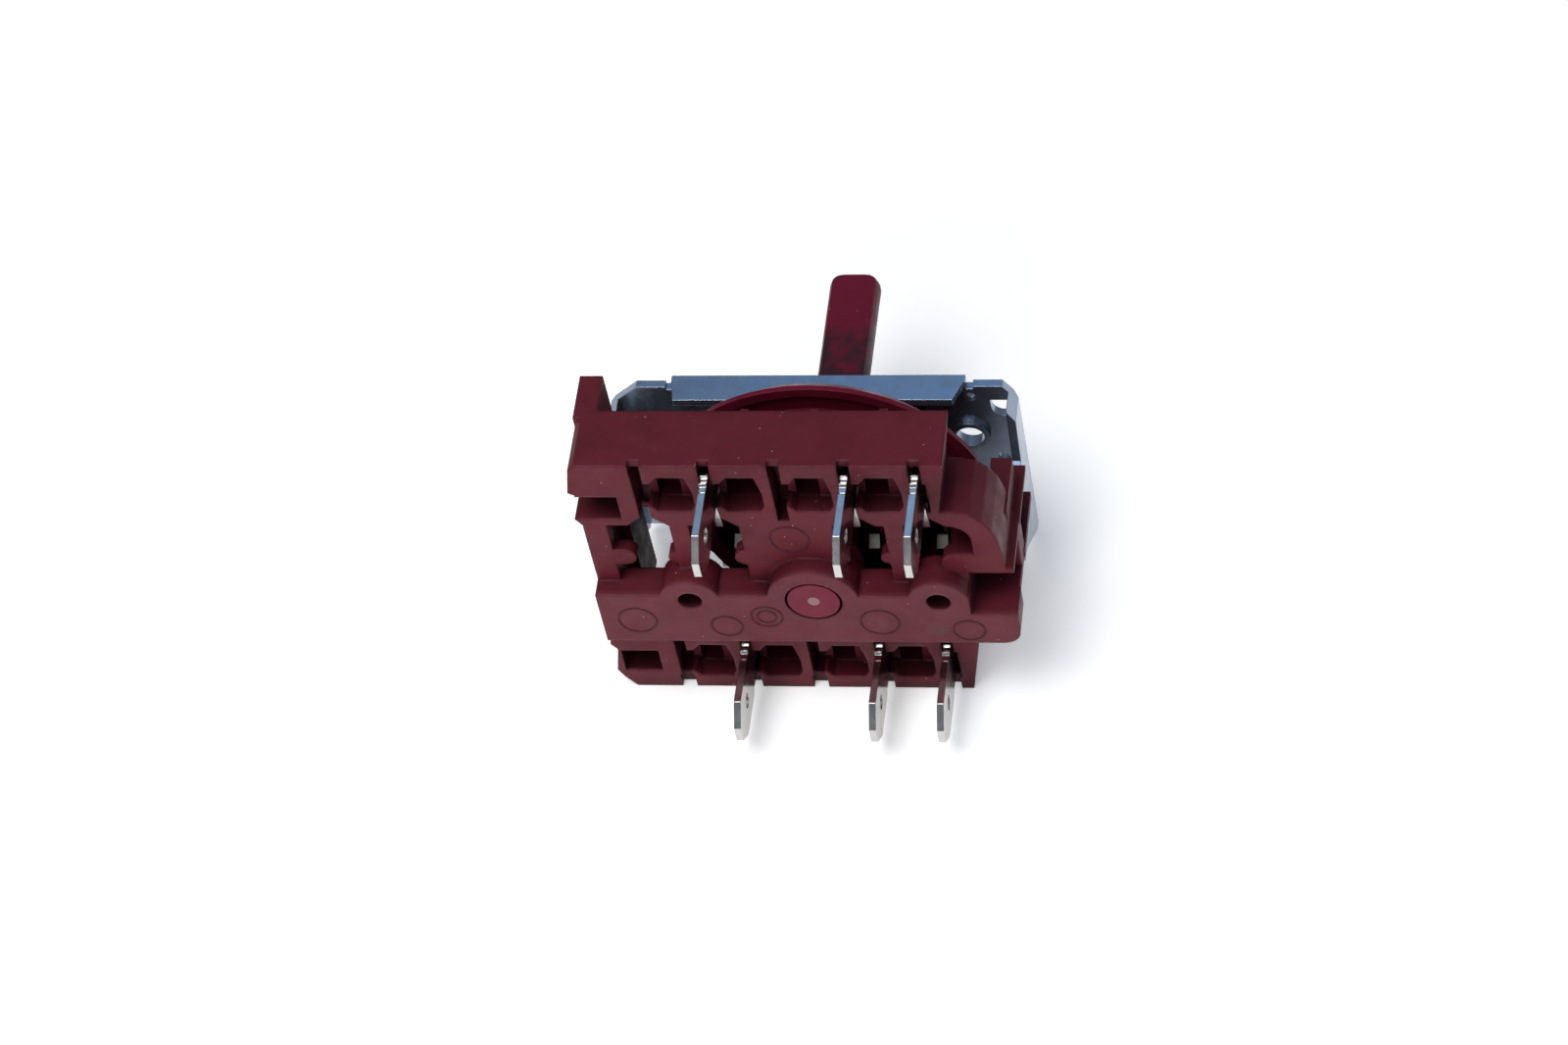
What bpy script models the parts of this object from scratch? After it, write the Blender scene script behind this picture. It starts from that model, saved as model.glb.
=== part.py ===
"""Rotary cam selector switch for a cooker or oven, with tab terminals.

Millimetre sizes are written through the MM factor, so every value below is in metres.
X runs along the terminal rows, Y from the terminal side towards the spindle, Z up.
Sizes along Y are measured from the rear face of the middle rail, and the parent empty then
moves the part so that its origin is on the spindle's axis in the bracket's front face.
"""

import math

import bmesh
import bpy
from mathutils import Matrix, Vector

MM = 0.001

# Clearances
SEAT = 0.3 * MM
CLOSE_SEAT = 0.15 * MM
OVERCUT = 0.5 * MM

# Contact base: planes from the terminal side forwards
RAIL_Y = 0.0
DECK_Y = 2.2 * MM
DECK_WALL = 1.6 * MM
BASE_FRONT_Y = 10.0 * MM
POST_FRONT_Y = 15.0 * MM

# Contact base: terminal columns and rows
COLUMN_PITCH = 7.69 * MM
COLUMN_MIDDLE_X = -1.91 * MM
COLUMNS = 5
WIRED_COLUMNS = (1, 3, 4)
ROW_DROP = 30.65 * MM
BASE_TOP_Z = 21.35 * MM
BASE_BOTTOM_Z = -19.25 * MM
OUTER_WALL = 2.0 * MM
SIDE_WALL = 1.7 * MM
END_WALL = 2.2 * MM
BASE_LEFT_X = -24.65 * MM
ROW_RIGHT_X = 16.6 * MM
BARB = 0.7 * MM

# Contact base: terminal slots and cored cells, seen from the rear
SLOT_WIDTH = 1.3 * MM
SLOT_HEAD = 1.0 * MM
SLOT_FOOT = (1.7 * MM, 0.3 * MM)
SLOT_NOTCH_DEPTH = 0.85 * MM
SLOT_NOTCH_WIDTH = 1.7 * MM
CELL_HEIGHT = 5.95 * MM
CELL_DEPTH = 2.4 * MM
CELL_DEEP_Y = 6.8 * MM
CELL_DEEP_LEFT = 1.5 * MM
CELL_FLOOR = 0.6 * MM
CELL_RIGHT = 5.9 * MM
CELL_CHAMFER = 0.55 * MM
NIB_DROP = 1.05 * MM
NIB_RIGHT = 1.4 * MM
NIB_SLOPE = 0.8 * MM
BLIND_SLOT_DEPTH = 3.4 * MM
CHAMBER_LEFT = 3.0 * MM
CHAMBER_RIGHT = 0.93 * MM
PARTITION = 1.0 * MM
PARTITION_OFFSET = 3.7 * MM

# Contact base: windows through the deck
WINDOW_TOP_Z = 10.9 * MM
WINDOW_POST = 2.1 * MM
WIDE_WINDOW = 7.1 * MM
NARROW_WINDOW = 5.7 * MM
DECK_MIDDLE_HALF = 5.2 * MM
TONGUE_Z = 5.1 * MM
TONGUE_HEIGHT = 2.5 * MM
TONGUE_LONG = 2.5 * MM
TONGUE_SHORT = 1.3 * MM
NUB_REACH = 1.0 * MM
NUB_HEIGHT = 1.9 * MM
PEAK_RISE = 2.0 * MM
PEAK_HALF = 2.3 * MM

# Contact base: middle rail with its bosses
RAIL_TOP_Z = 0.9 * MM
RAIL_BOTTOM_Z = -7.5 * MM
CAVITY_LOW_Z = -9.3 * MM
RAIL_RIGHT_X = 22.6 * MM
RAIL_CORNER = 2.0 * MM
JOURNAL_BOSS_RADIUS = 5.2 * MM
JOURNAL_RELIEF_RADIUS = 3.25 * MM
JOURNAL_RELIEF_DEPTH = 1.2 * MM
JOURNAL_BOSS_LENGTH = 6.0 * MM
PIN_SPACING = 28.0 * MM
PIN_BOSS_RADIUS = 3.4 * MM
PIN_HOLE_RADIUS = 1.38 * MM
PIN_HOLE_DEPTH = 3.2 * MM

# Contact base: hook wall and recess at the right
HOOK_TOP_Z = 13.25 * MM
HOOK_LOW_Z = 2.5 * MM
HOOK_INSIDE_X = 18.4 * MM
HOOK_SIDE = (
    (21.7 * MM, 3.3 * MM),
    (21.65 * MM, 5.2 * MM),
    (21.3 * MM, 8.0 * MM),
    (20.8 * MM, 9.9 * MM),
    (19.9 * MM, 11.6 * MM),
    (18.6 * MM, 12.8 * MM),
    (16.8 * MM, HOOK_TOP_Z),
)
HOOK_TONGUE_TOP_Z = 5.9 * MM
HOOK_TONGUE_END_X = 14.7 * MM
HOOK_TONGUE_ROOT_X = 15.8 * MM
RECESS_LEFT_X = 17.4 * MM
RECESS_LOW_Z = -2.3 * MM
RECESS_BACK_Y = 7.0 * MM
LEDGE_X = 22.5 * MM
LEDGE_WALL = 1.2 * MM

# Contact base: posts that carry the bracket
POST_WIDTH = 2.6 * MM
LEFT_POST_X = -24.9 * MM
RIGHT_POST_X = 21.65 * MM
RIGHT_POST_INNER_X = 19.25 * MM
LOW_POST_WALL = 0.95 * MM
LOW_POST_TOP_Z = -0.2 * MM
LOW_POST_FRONT_Y = 17.3 * MM
UPPER_POST_HEIGHT = 6.0 * MM
LOWER_POST_HEIGHT = 7.0 * MM
SIDE_POST_TOP_Z = 6.8 * MM
SIDE_POST_LOW_Z = -12.5 * MM
RIGHT_FOOT_LOW_Z = -12.2 * MM
LUG_TOP_Z = -2.35 * MM
LUG_WALL = 1.15 * MM
LUG_REAR_Y = 15.3 * MM
LUG_FRONT_Y = 17.4 * MM
RIB_X = (21.75 * MM, 22.6 * MM)
UPPER_RIB_FRONT_Y = 16.8 * MM
UPPER_RIB_Z = (2.55 * MM, 3.2 * MM)
NUB_HALF = 0.45 * MM

# Rotor: journals, web and cam rings
JOURNAL_RADIUS = 2.95 * MM
JOURNAL_CLEARANCE = 0.08 * MM
GATE_RADIUS = 0.75 * MM
GATE_DEPTH = 0.1 * MM
HUB_RADIUS = 4.1 * MM
WEB_Y = 16.0 * MM
WEB_WALL = 1.4 * MM
RIM_RADIUS = 18.6 * MM
RIM_WALL = 1.3 * MM
RIM_REAR_Y = 15.2 * MM
RIM_EDGE = 0.6 * MM
RING_WALL = 1.7 * MM
RING_REAR_Y = 10.6 * MM
LOBE_RISE = 0.8 * MM
LOBE_INSET = 0.1 * MM
LOBE_RAMP_DEG = 7.0
ROTOR_SIDES = 72

# Rotor: detent star, front hub and D spindle
STAR_TEETH = 12
STAR_VALLEY = 10.2 * MM
STAR_RISE = 1.2 * MM
STAR_Y = 17.2 * MM
STAR_WIDTH = 3.7 * MM
FRONT_HUB_RADIUS = 5.6 * MM
FRONT_JOURNAL_RADIUS = 4.0 * MM
SPINDLE_RADIUS = 3.0 * MM
SPINDLE_FLAT_Z = 1.6 * MM
SPINDLE_FLAT_START = 2.0 * MM
SPINDLE_TIP_Y = 46.4 * MM
SPINDLE_TIP_ROUND = 1.0 * MM

# Bracket: folded zinc-plated sheet
SHEET = 1.0 * MM
PLATE_Y = 24.0 * MM
PLATE_TOP_Z = 9.15 * MM
PLATE_BOTTOM_Z = -17.0 * MM
PLATE_LEFT_X = -25.4 * MM
PLATE_RIGHT_X = 21.5 * MM
LEG_REAR_Y = 14.0 * MM
LEG_EDGE_Y = 21.3 * MM
LEG_SHOULDER_Y = 20.3 * MM
LEG_TONGUE_TOP_Z = -0.9 * MM
LEG_TONGUE_BOTTOM_Z = -10.6 * MM
LEG_LOW_Y = 16.2 * MM
LEG_LOW_Z = -11.2 * MM
EAR_TOP_Z = 8.3 * MM
LEFT_EAR_CHAMFER = (3.4 * MM, 3.0 * MM)
RIGHT_EAR_CHAMFER = (1.6 * MM, 2.5 * MM)
FLANGE_LEFT_X = -17.8 * MM
FLANGE_RIGHT_X = 15.8 * MM
FLANGE_REACH = 3.6 * MM
FLANGE_SLANT = 1.2 * MM
RELIEF = 0.8 * MM
RELIEF_DEPTH = 1.3 * MM
SPRING_SHELF_REACH = 7.3 * MM
SPRING_SHELF_HALF = 14.0 * MM
SCREW_SPACING = 31.0 * MM
COLLAR_RADIUS = 2.3 * MM
COLLAR_HEIGHT = 0.6 * MM
TAPPED_RADIUS = 1.65 * MM
SPINDLE_BORE_CLEARANCE = 0.1 * MM
KEY_HOLE = (18.3 * MM, 20.3 * MM, 3.1 * MM, 5.9 * MM)
KEY_HOLE_ROUND = 1.5 * MM
PIMPLE_X = 16.0 * MM
PIMPLE_Z = 6.5 * MM
PIMPLE_RADIUS = 0.65 * MM
PIMPLE_HEIGHT = 0.3 * MM
PIP_HOLE_X = 18.9 * MM
PIP_HOLE_Z = -4.2 * MM
PIP_HOLE_RADIUS = 0.65 * MM

# Tab terminals
TAB_THICKNESS = 0.8 * MM
TAB_WIDTH = 6.3 * MM
TAB_Z = BASE_TOP_Z - 4.85 * MM
TAB_TIP_Y = -8.2 * MM
TAB_TAPER = 2.3 * MM
TAB_TIP_WIDTH = 2.2 * MM
TAB_HOLE_RADIUS = 0.9 * MM
TAB_HOLE_Y = -3.5 * MM
NECK_DROP = 0.1 * MM
INNER_DROP = 0.8 * MM
NECK_TOOTH = 0.35 * MM
PRONG_REACH = 7.8 * MM
FOOT_WIDTH = 3.0 * MM
FOOT_WALL = 0.7 * MM
FOOT_REACH = 2.5 * MM
UPPER_FOOT_Y = 5.5 * MM

# Contact springs and contacts
SPRING_Y = 8.6 * MM
SPRING_SHEET = 0.4 * MM
SPRING_WIDTH = 2.8 * MM
SPRING_WAIST = 1.3 * MM
SPRING_TOP_Z = BASE_TOP_Z - 3.15 * MM
SPRING_NECK_Z = 8.0 * MM
SPRING_ROOT = 3.0 * MM
SPRING_NECK_TAPER = 2.5 * MM
NOSE_HALF = 2.3 * MM
NOSE_REACH = 1.3 * MM
CONTACT_RADIUS = 1.0 * MM
CONTACT_X = -1.2 * MM
CONTACT_HEAD = 0.5 * MM
CONTACT_SHANK_RADIUS = 0.5 * MM
RIVET_SHANK_RADIUS = 0.5 * MM
RIVET_TAIL_RADIUS = 0.75 * MM
RIVET_HEAD_RADIUS = 1.0 * MM
RIVET_HEAD = 0.5 * MM

# Detent follower
ROLLER_RADIUS = 1.8 * MM
ROLLER_Y = 18.0 * MM
ROLLER_LENGTH = 2.6 * MM
DETENT_SHEET = 0.4 * MM
DETENT_SPAN = 23.0 * MM
TROUGH_HALF = 2.6 * MM
TROUGH_WALL = 1.5 * MM

SMALL_SIDES = 24
FINE_SIDES = 32

# Cam program: the angles where each wired column's contact closes
PROGRAM_DEG = {1: (60, 150, 300), 3: (120, 210), 4: (30, 240, 330)}


def clear_scene():
    for obj in list(bpy.data.objects):
        bpy.data.objects.remove(obj, do_unlink=True)


def new_collection(name):
    collection = bpy.data.collections.new(name)
    bpy.context.scene.collection.children.link(collection)
    return collection


def material(name, colour, roughness, metallic=0.0):
    made = bpy.data.materials.new(name)
    made.use_nodes = True
    shader = made.node_tree.nodes["Principled BSDF"]
    shader.inputs["Base Color"].default_value = (*colour, 1.0)
    shader.inputs["Roughness"].default_value = roughness
    shader.inputs["Metallic"].default_value = metallic
    return made


def arc(centre, radius, start_deg, end_deg, steps):
    """Points of an arc in a plane, both ends included."""
    points = []
    for i in range(steps + 1):
        angle = math.radians(start_deg + (end_deg - start_deg) * i / steps)
        points.append((centre[0] + radius * math.cos(angle), centre[1] + radius * math.sin(angle)))
    return points


def mesh_object(name, mesh):
    obj = bpy.data.objects.new(name, mesh)
    return obj


def outline_mesh(name, points, depth):
    """A flat closed outline, extruded evenly about its own plane."""
    curve = bpy.data.curves.new(name, "CURVE")
    curve.dimensions = "2D"
    curve.fill_mode = "BOTH"
    curve.extrude = depth / 2
    spline = curve.splines.new("POLY")
    spline.points.add(len(points) - 1)
    for point, (u, v) in zip(spline.points, points):
        point.co = (u, v, 0.0, 1.0)
    spline.use_cyclic_u = True
    guide = bpy.data.objects.new(name + "_outline", curve)
    mesh = bpy.data.meshes.new_from_object(guide)
    mesh.name = name
    bpy.data.objects.remove(guide, do_unlink=True)
    bpy.data.curves.remove(curve)
    shape = bmesh.new()
    shape.from_mesh(mesh)
    bmesh.ops.remove_doubles(shape, verts=shape.verts, dist=0.001 * MM)
    bmesh.ops.recalc_face_normals(shape, faces=shape.faces)
    shape.to_mesh(mesh)
    shape.free()
    return mesh


def prism_xz(name, points, y_low, y_high):
    """An outline of X and Z points, run from one Y to another."""
    mesh = outline_mesh(name, points, y_high - y_low)
    turn = Matrix.Rotation(math.radians(90), 4, "X")
    mesh.transform(Matrix.Translation((0, (y_low + y_high) / 2, 0)) @ turn)
    return mesh_object(name, mesh)


def prism_yz(name, points, x_low, x_high):
    """An outline of Y and Z points, run from one X to another."""
    mesh = outline_mesh(name, points, x_high - x_low)
    turn = Matrix(((0, 0, 1, 0), (1, 0, 0, 0), (0, 1, 0, 0), (0, 0, 0, 1)))
    mesh.transform(Matrix.Translation(((x_low + x_high) / 2, 0, 0)) @ turn)
    return mesh_object(name, mesh)


def prism_xy(name, points, z_low, z_high):
    """An outline of X and Y points, run from one Z to another."""
    mesh = outline_mesh(name, points, z_high - z_low)
    mesh.transform(Matrix.Translation((0, 0, (z_low + z_high) / 2)))
    return mesh_object(name, mesh)


def box(name, x_span, y_span, z_span):
    low = Vector((x_span[0], y_span[0], z_span[0]))
    high = Vector((x_span[1], y_span[1], z_span[1]))
    shape = bmesh.new()
    size = Matrix.Diagonal((*(high - low), 1.0))
    bmesh.ops.create_cube(shape, size=1.0, matrix=Matrix.Translation((low + high) / 2) @ size)
    mesh = bpy.data.meshes.new(name)
    shape.to_mesh(mesh)
    shape.free()
    return mesh_object(name, mesh)


def rod_y(name, centre_xz, radius, y_low, y_high, sides, far_radius=None):
    """A cylinder or cone along Y."""
    shape = bmesh.new()
    lie = Matrix.Rotation(math.radians(-90), 4, "X")
    place = Matrix.Translation((centre_xz[0], (y_low + y_high) / 2, centre_xz[1]))
    bmesh.ops.create_cone(
        shape, cap_ends=True, segments=sides, radius1=radius,
        radius2=radius if far_radius is None else far_radius,
        depth=y_high - y_low, matrix=place @ lie)
    mesh = bpy.data.meshes.new(name)
    shape.to_mesh(mesh)
    shape.free()
    return mesh_object(name, mesh)


def rod_x(name, centre_yz, radius, x_low, x_high, sides):
    """A cylinder along X."""
    shape = bmesh.new()
    lie = Matrix.Rotation(math.radians(90), 4, "Y")
    place = Matrix.Translation(((x_low + x_high) / 2, centre_yz[0], centre_yz[1]))
    bmesh.ops.create_cone(
        shape, cap_ends=True, segments=sides, radius1=radius, radius2=radius,
        depth=x_high - x_low, matrix=place @ lie)
    mesh = bpy.data.meshes.new(name)
    shape.to_mesh(mesh)
    shape.free()
    return mesh_object(name, mesh)


class Workshop:
    """Keeps the finished parts and the solids that shape them in their own collections."""

    def __init__(self, part_name):
        self.parts = new_collection(part_name)
        self.tools = new_collection("shaping_solids")
        self.frame = bpy.data.objects.new(part_name + "_frame", None)
        self.parts.objects.link(self.frame)
        self.frame.location = (0, -(PLATE_Y + SHEET), 0)

    def add(self, obj, finish):
        self.parts.objects.link(obj)
        obj.parent = self.frame
        obj.data.materials.clear()
        obj.data.materials.append(finish)
        return obj

    def shape(self, target, operation, solids):
        """Joins solids to the target, or cuts them away, as one Boolean."""
        group = bpy.data.collections.new(target.name + "_" + operation.lower())
        self.tools.children.link(group)
        for solid in solids:
            group.objects.link(solid)
            solid.parent = self.frame
            solid.hide_render = True
            solid.display_type = "WIRE"
        modifier = target.modifiers.new(operation.title(), "BOOLEAN")
        modifier.operation = operation
        modifier.operand_type = "COLLECTION"
        modifier.collection = group
        modifier.solver = "EXACT"
        return modifier


def column_x(index):
    return COLUMN_MIDDLE_X + (index - (COLUMNS - 1) / 2) * COLUMN_PITCH


def row_shift(row):
    """How far a row lies below the upper one."""
    return -ROW_DROP * row


def base_outline():
    """The rear silhouette of the contact base, clockwise from its upper left corner."""
    left = BASE_LEFT_X
    cell_top = BASE_TOP_Z - OUTER_WALL
    left_side = [
        (left + 0.7 * MM, BASE_TOP_Z),
        (left, BASE_TOP_Z - 0.7 * MM),
        (left - BARB, cell_top - 2.7 * MM),
        (left, cell_top - 3.1 * MM),
        (left - BARB, cell_top - CELL_HEIGHT - 1.4 * MM),
        (left, WINDOW_TOP_Z),
        (left, RAIL_BOTTOM_Z),
        (left - BARB, cell_top - ROW_DROP),
        (left, cell_top - ROW_DROP - 1.0 * MM),
        (left - BARB, cell_top - ROW_DROP - CELL_HEIGHT + 1.0 * MM),
        (left, BASE_BOTTOM_Z + OUTER_WALL - 0.4 * MM),
        (left + 1.2 * MM, BASE_BOTTOM_Z),
    ]
    right_side = [
        (ROW_RIGHT_X - 0.9 * MM, BASE_BOTTOM_Z),
        (ROW_RIGHT_X + 0.4 * MM, cell_top - ROW_DROP),
        (ROW_RIGHT_X + 0.4 * MM, RAIL_BOTTOM_Z),
        (RIGHT_POST_INNER_X + LOW_POST_WALL - 0.1 * MM, RAIL_BOTTOM_Z),
        (RIGHT_POST_INNER_X + LOW_POST_WALL - 0.1 * MM, RECESS_LOW_Z - LEDGE_WALL),
        (LEDGE_X, RECESS_LOW_Z - LEDGE_WALL),
        (LEDGE_X, HOOK_SIDE[0][1] - 0.2 * MM),
    ]
    upper = [(ROW_RIGHT_X - 1.2 * MM, HOOK_TOP_Z + 0.05 * MM), (ROW_RIGHT_X, BASE_TOP_Z)]
    return left_side + right_side + list(HOOK_SIDE) + upper


def cell_outline(x, top_z, last):
    """One cored cell beside its terminal slot; the last one is only a widened slot."""
    nib_z = top_z - NIB_DROP
    low_z = top_z - CELL_HEIGHT
    if last:
        return [(x, nib_z), (x + NIB_RIGHT - 0.4 * MM, nib_z), (x + NIB_RIGHT - 0.3 * MM, low_z),
                (x, low_z)]
    return [
        (x, nib_z),
        (x + NIB_RIGHT, nib_z),
        (x + NIB_RIGHT + NIB_SLOPE, top_z),
        (x + CELL_RIGHT - CELL_CHAMFER, top_z),
        (x + CELL_RIGHT, top_z - CELL_HEIGHT * 0.45),
        (x + CELL_RIGHT, low_z + 1.0 * MM),
        (x + CELL_RIGHT - CELL_CHAMFER, low_z),
        (x + NIB_RIGHT + 0.3 * MM, low_z),
        (x + NIB_RIGHT - 0.4 * MM, low_z + 0.9 * MM),
        (x, low_z + 0.9 * MM),
    ]


def round_tip(root_x, tip_x, middle_z, height):
    """A rounded tongue from a window's side, as points from its lower to its upper root."""
    radius = height / 2
    facing = 1 if tip_x > root_x else -1
    centre = (tip_x - facing * radius, middle_z)
    if facing > 0:
        tip = arc(centre, radius, -90, 90, 6)
    else:
        tip = arc(centre, radius, 270, 90, 6)
    return [(root_x, middle_z - radius)] + tip + [(root_x, middle_z + radius)]


def window_outline(left_x, right_x, left_reach, left_height, right_reach, right_height):
    """A deck window with a tongue or nub on each side."""
    left_tip = round_tip(left_x, left_x + left_reach, TONGUE_Z, left_height)
    right_tip = round_tip(right_x, right_x - right_reach, TONGUE_Z, right_height)
    low_z = RAIL_TOP_Z - OVERCUT
    return (
        [(left_x, low_z)] + left_tip + [(left_x, WINDOW_TOP_Z), (right_x, WINDOW_TOP_Z)]
        + right_tip[::-1] + [(right_x, low_z)]
    )


def hook_window_outline(left_x):
    """The rightmost window, whose far side is the inside of the hook wall."""
    left_tip = round_tip(left_x, left_x + NUB_REACH, TONGUE_Z, NUB_HEIGHT)
    inside_x = HOOK_INSIDE_X
    inner_radius = 2.6 * MM
    corner = arc((inside_x - inner_radius, WINDOW_TOP_Z - inner_radius), inner_radius, 90, 0, 6)
    tongue_low = HOOK_LOW_Z
    tongue_radius = (HOOK_TONGUE_TOP_Z - tongue_low) / 2
    tongue = arc((HOOK_TONGUE_END_X + tongue_radius, tongue_low + tongue_radius),
                 tongue_radius, 90, 270, 8)
    low_z = RAIL_TOP_Z - OVERCUT
    return (
        [(left_x, low_z)] + left_tip + [(left_x, WINDOW_TOP_Z)] + corner
        + [(inside_x, HOOK_TONGUE_TOP_Z)] + tongue
        + [(HOOK_TONGUE_ROOT_X, tongue_low - 0.3 * MM), (HOOK_TONGUE_ROOT_X, low_z)]
    )


def window_edges():
    """Left and right X of the four windows, mirrored about the middle column."""
    inner = DECK_MIDDLE_HALF
    split = inner + NARROW_WINDOW
    outer = split + WINDOW_POST
    far = outer + WIDE_WINDOW
    middle = COLUMN_MIDDLE_X
    return [
        (middle - far, middle - outer),
        (middle - split, middle - inner),
        (middle + inner, middle + split),
        (middle + outer, middle + far),
    ]


def window_cuts():
    edges = window_edges()
    front = DECK_Y + DECK_WALL + OVERCUT
    outlines = [
        window_outline(*edges[0], TONGUE_LONG, TONGUE_HEIGHT, NUB_REACH, NUB_HEIGHT),
        window_outline(*edges[1], NUB_REACH, NUB_HEIGHT, TONGUE_SHORT, TONGUE_HEIGHT),
        window_outline(*edges[2], TONGUE_SHORT, TONGUE_HEIGHT, NUB_REACH, NUB_HEIGHT),
        hook_window_outline(edges[3][0]),
    ]
    cuts = []
    for number, outline in enumerate(outlines):
        depth = front if number < 3 else BASE_FRONT_Y - 1.2 * MM
        cuts.append(prism_xz(f"window_{number + 1}", outline, RAIL_Y - OVERCUT, depth))
    return cuts


def cell_cuts(row):
    """The cored cells of one terminal row, beside their slots."""
    floor_y = DECK_Y + CELL_DEPTH
    top_z = BASE_TOP_Z - OUTER_WALL + row_shift(row)
    cuts = []
    for index in range(COLUMNS):
        outline = cell_outline(column_x(index), top_z, index == COLUMNS - 1)
        cuts.append(prism_xz(f"cell_{row}_{index}", outline, RAIL_Y, floor_y))
    return cuts


def deep_cell_cuts(row):
    """The cells' deeper middles, which stay clear of the wired columns' chambers."""
    top_z = BASE_TOP_Z - OUTER_WALL + row_shift(row)
    cuts = []
    for index in range(COLUMNS - 1):
        x = column_x(index)
        right = x + CELL_RIGHT - 0.05 * MM
        if index + 1 in WIRED_COLUMNS:
            right = column_x(index + 1) - CHAMBER_LEFT - CELL_FLOOR
        cuts.append(box(f"cell_deep_{row}_{index}", (x + CELL_DEEP_LEFT, right),
                        (DECK_Y + CELL_DEPTH - OVERCUT, CELL_DEEP_Y),
                        (top_z - CELL_HEIGHT + 0.05 * MM, top_z - 0.05 * MM)))
    return cuts


def slot_cuts(row):
    """The narrow slots that the terminals are pushed through."""
    top_z = BASE_TOP_Z - OUTER_WALL + row_shift(row)
    low_z = top_z - CELL_HEIGHT - SLOT_FOOT[row]
    half = SLOT_WIDTH / 2
    cuts = []
    for index in range(COLUMNS):
        x = column_x(index)
        depth = DECK_Y + BLIND_SLOT_DEPTH
        if index in WIRED_COLUMNS:
            depth = DECK_Y + CELL_DEPTH + CELL_FLOOR + OVERCUT
        cuts.append(box(f"slot_{row}_{index}", (x - half, x + half), (RAIL_Y + OVERCUT, depth),
                        (low_z, top_z + SLOT_HEAD)))
    return cuts


def notch_cuts():
    """Each slot's shallow run-out through the outer edge of its row."""
    upper_half = SLOT_WIDTH / 2 + 0.03 * MM
    lower_half = SLOT_NOTCH_WIDTH / 2
    depth = DECK_Y + SLOT_NOTCH_DEPTH
    low_z = BASE_TOP_Z - OUTER_WALL - ROW_DROP - CELL_HEIGHT
    cuts = []
    for index in range(COLUMNS):
        x = column_x(index)
        cuts.append(box(f"notch_upper_{index}", (x - upper_half, x + upper_half), (RAIL_Y, depth),
                        (BASE_TOP_Z - OUTER_WALL + 0.2 * MM, BASE_TOP_Z + OVERCUT)))
        cuts.append(box(f"notch_lower_{index}", (x - lower_half, x + lower_half), (RAIL_Y, depth),
                        (BASE_BOTTOM_Z - OVERCUT, low_z + 0.2 * MM)))
    return cuts


def chamber_cuts():
    """The contact chambers behind both rows, one to a column."""
    upper_z = (WINDOW_TOP_Z - OVERCUT, BASE_TOP_Z - OUTER_WALL - 0.1 * MM)
    lower_z = (BASE_BOTTOM_Z + OUTER_WALL + 0.1 * MM, CAVITY_LOW_Z + OVERCUT)
    cuts = []
    for index in range(COLUMNS):
        x = column_x(index)
        left = x + PARTITION_OFFSET - COLUMN_PITCH + PARTITION / 2
        right = x + PARTITION_OFFSET - PARTITION / 2
        chamber_y = CELL_DEEP_Y + CELL_FLOOR
        if index in WIRED_COLUMNS:
            left = x - CHAMBER_LEFT
            right = x + CHAMBER_RIGHT
            chamber_y = DECK_Y + CELL_DEPTH + CELL_FLOOR
        for tag, span in (("upper", upper_z), ("lower", lower_z)):
            cuts.append(box(f"chamber_{tag}_{index}", (left, right),
                            (chamber_y, BASE_FRONT_Y + OVERCUT), span))
    return cuts


def peak_cuts():
    """The slots run down into the windows with a chamfer on each side."""
    cuts = []
    for index in (0, 1, 3, 4):
        x = column_x(index)
        points = [(x - PEAK_HALF, WINDOW_TOP_Z - OVERCUT), (x - PEAK_HALF, WINDOW_TOP_Z),
                  (x, WINDOW_TOP_Z + PEAK_RISE), (x + PEAK_HALF, WINDOW_TOP_Z),
                  (x + PEAK_HALF, WINDOW_TOP_Z - OVERCUT)]
        cuts.append(prism_xz(f"peak_{index}", points, RAIL_Y, DECK_Y + CELL_DEPTH + 0.2 * MM))
    return cuts


def corner_pocket_cuts():
    """The cored pockets at the left end of both rows."""
    right = column_x(0) - 2.7 * MM
    upper_top = BASE_TOP_Z - OUTER_WALL - 3.4 * MM
    lower_top = BASE_TOP_Z - OUTER_WALL - ROW_DROP - 1.2 * MM
    upper_left = BASE_LEFT_X - BARB - OVERCUT
    lower_left = BASE_LEFT_X + 0.3 * MM
    return [
        box("pocket_upper", (upper_left, right), (RAIL_Y, CELL_DEEP_Y),
            (WINDOW_TOP_Z + 1.1 * MM, upper_top)),
        box("pocket_lower", (lower_left, right), (RAIL_Y, CELL_DEEP_Y),
            (BASE_BOTTOM_Z + OUTER_WALL + 1.0 * MM, lower_top)),
    ]


def boss_bump(centre_x, radius):
    """The part of a round boss that rises over the rail, from left to right."""
    lift = math.degrees(math.asin(RAIL_TOP_Z / radius))
    return arc((centre_x, 0), radius, 180 - lift, lift, 14)


def rail_outline():
    """The middle rail with the three bosses on its upper edge, clockwise."""
    half = PIN_SPACING / 2
    corner = arc((RAIL_RIGHT_X - RAIL_CORNER, RAIL_BOTTOM_Z + RAIL_CORNER), RAIL_CORNER, 0, -90, 5)
    top = [(BASE_LEFT_X - 0.05 * MM, RAIL_TOP_Z)] + boss_bump(-half, PIN_BOSS_RADIUS)
    top += boss_bump(0, JOURNAL_BOSS_RADIUS) + boss_bump(half, PIN_BOSS_RADIUS)
    step = [(RECESS_LEFT_X, RAIL_TOP_Z - 0.02 * MM), (RECESS_LEFT_X, RECESS_LOW_Z),
            (RAIL_RIGHT_X, RECESS_LOW_Z)]
    return top + step + corner + [(BASE_LEFT_X - 0.05 * MM, RAIL_BOTTOM_Z - 0.05 * MM)]


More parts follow.
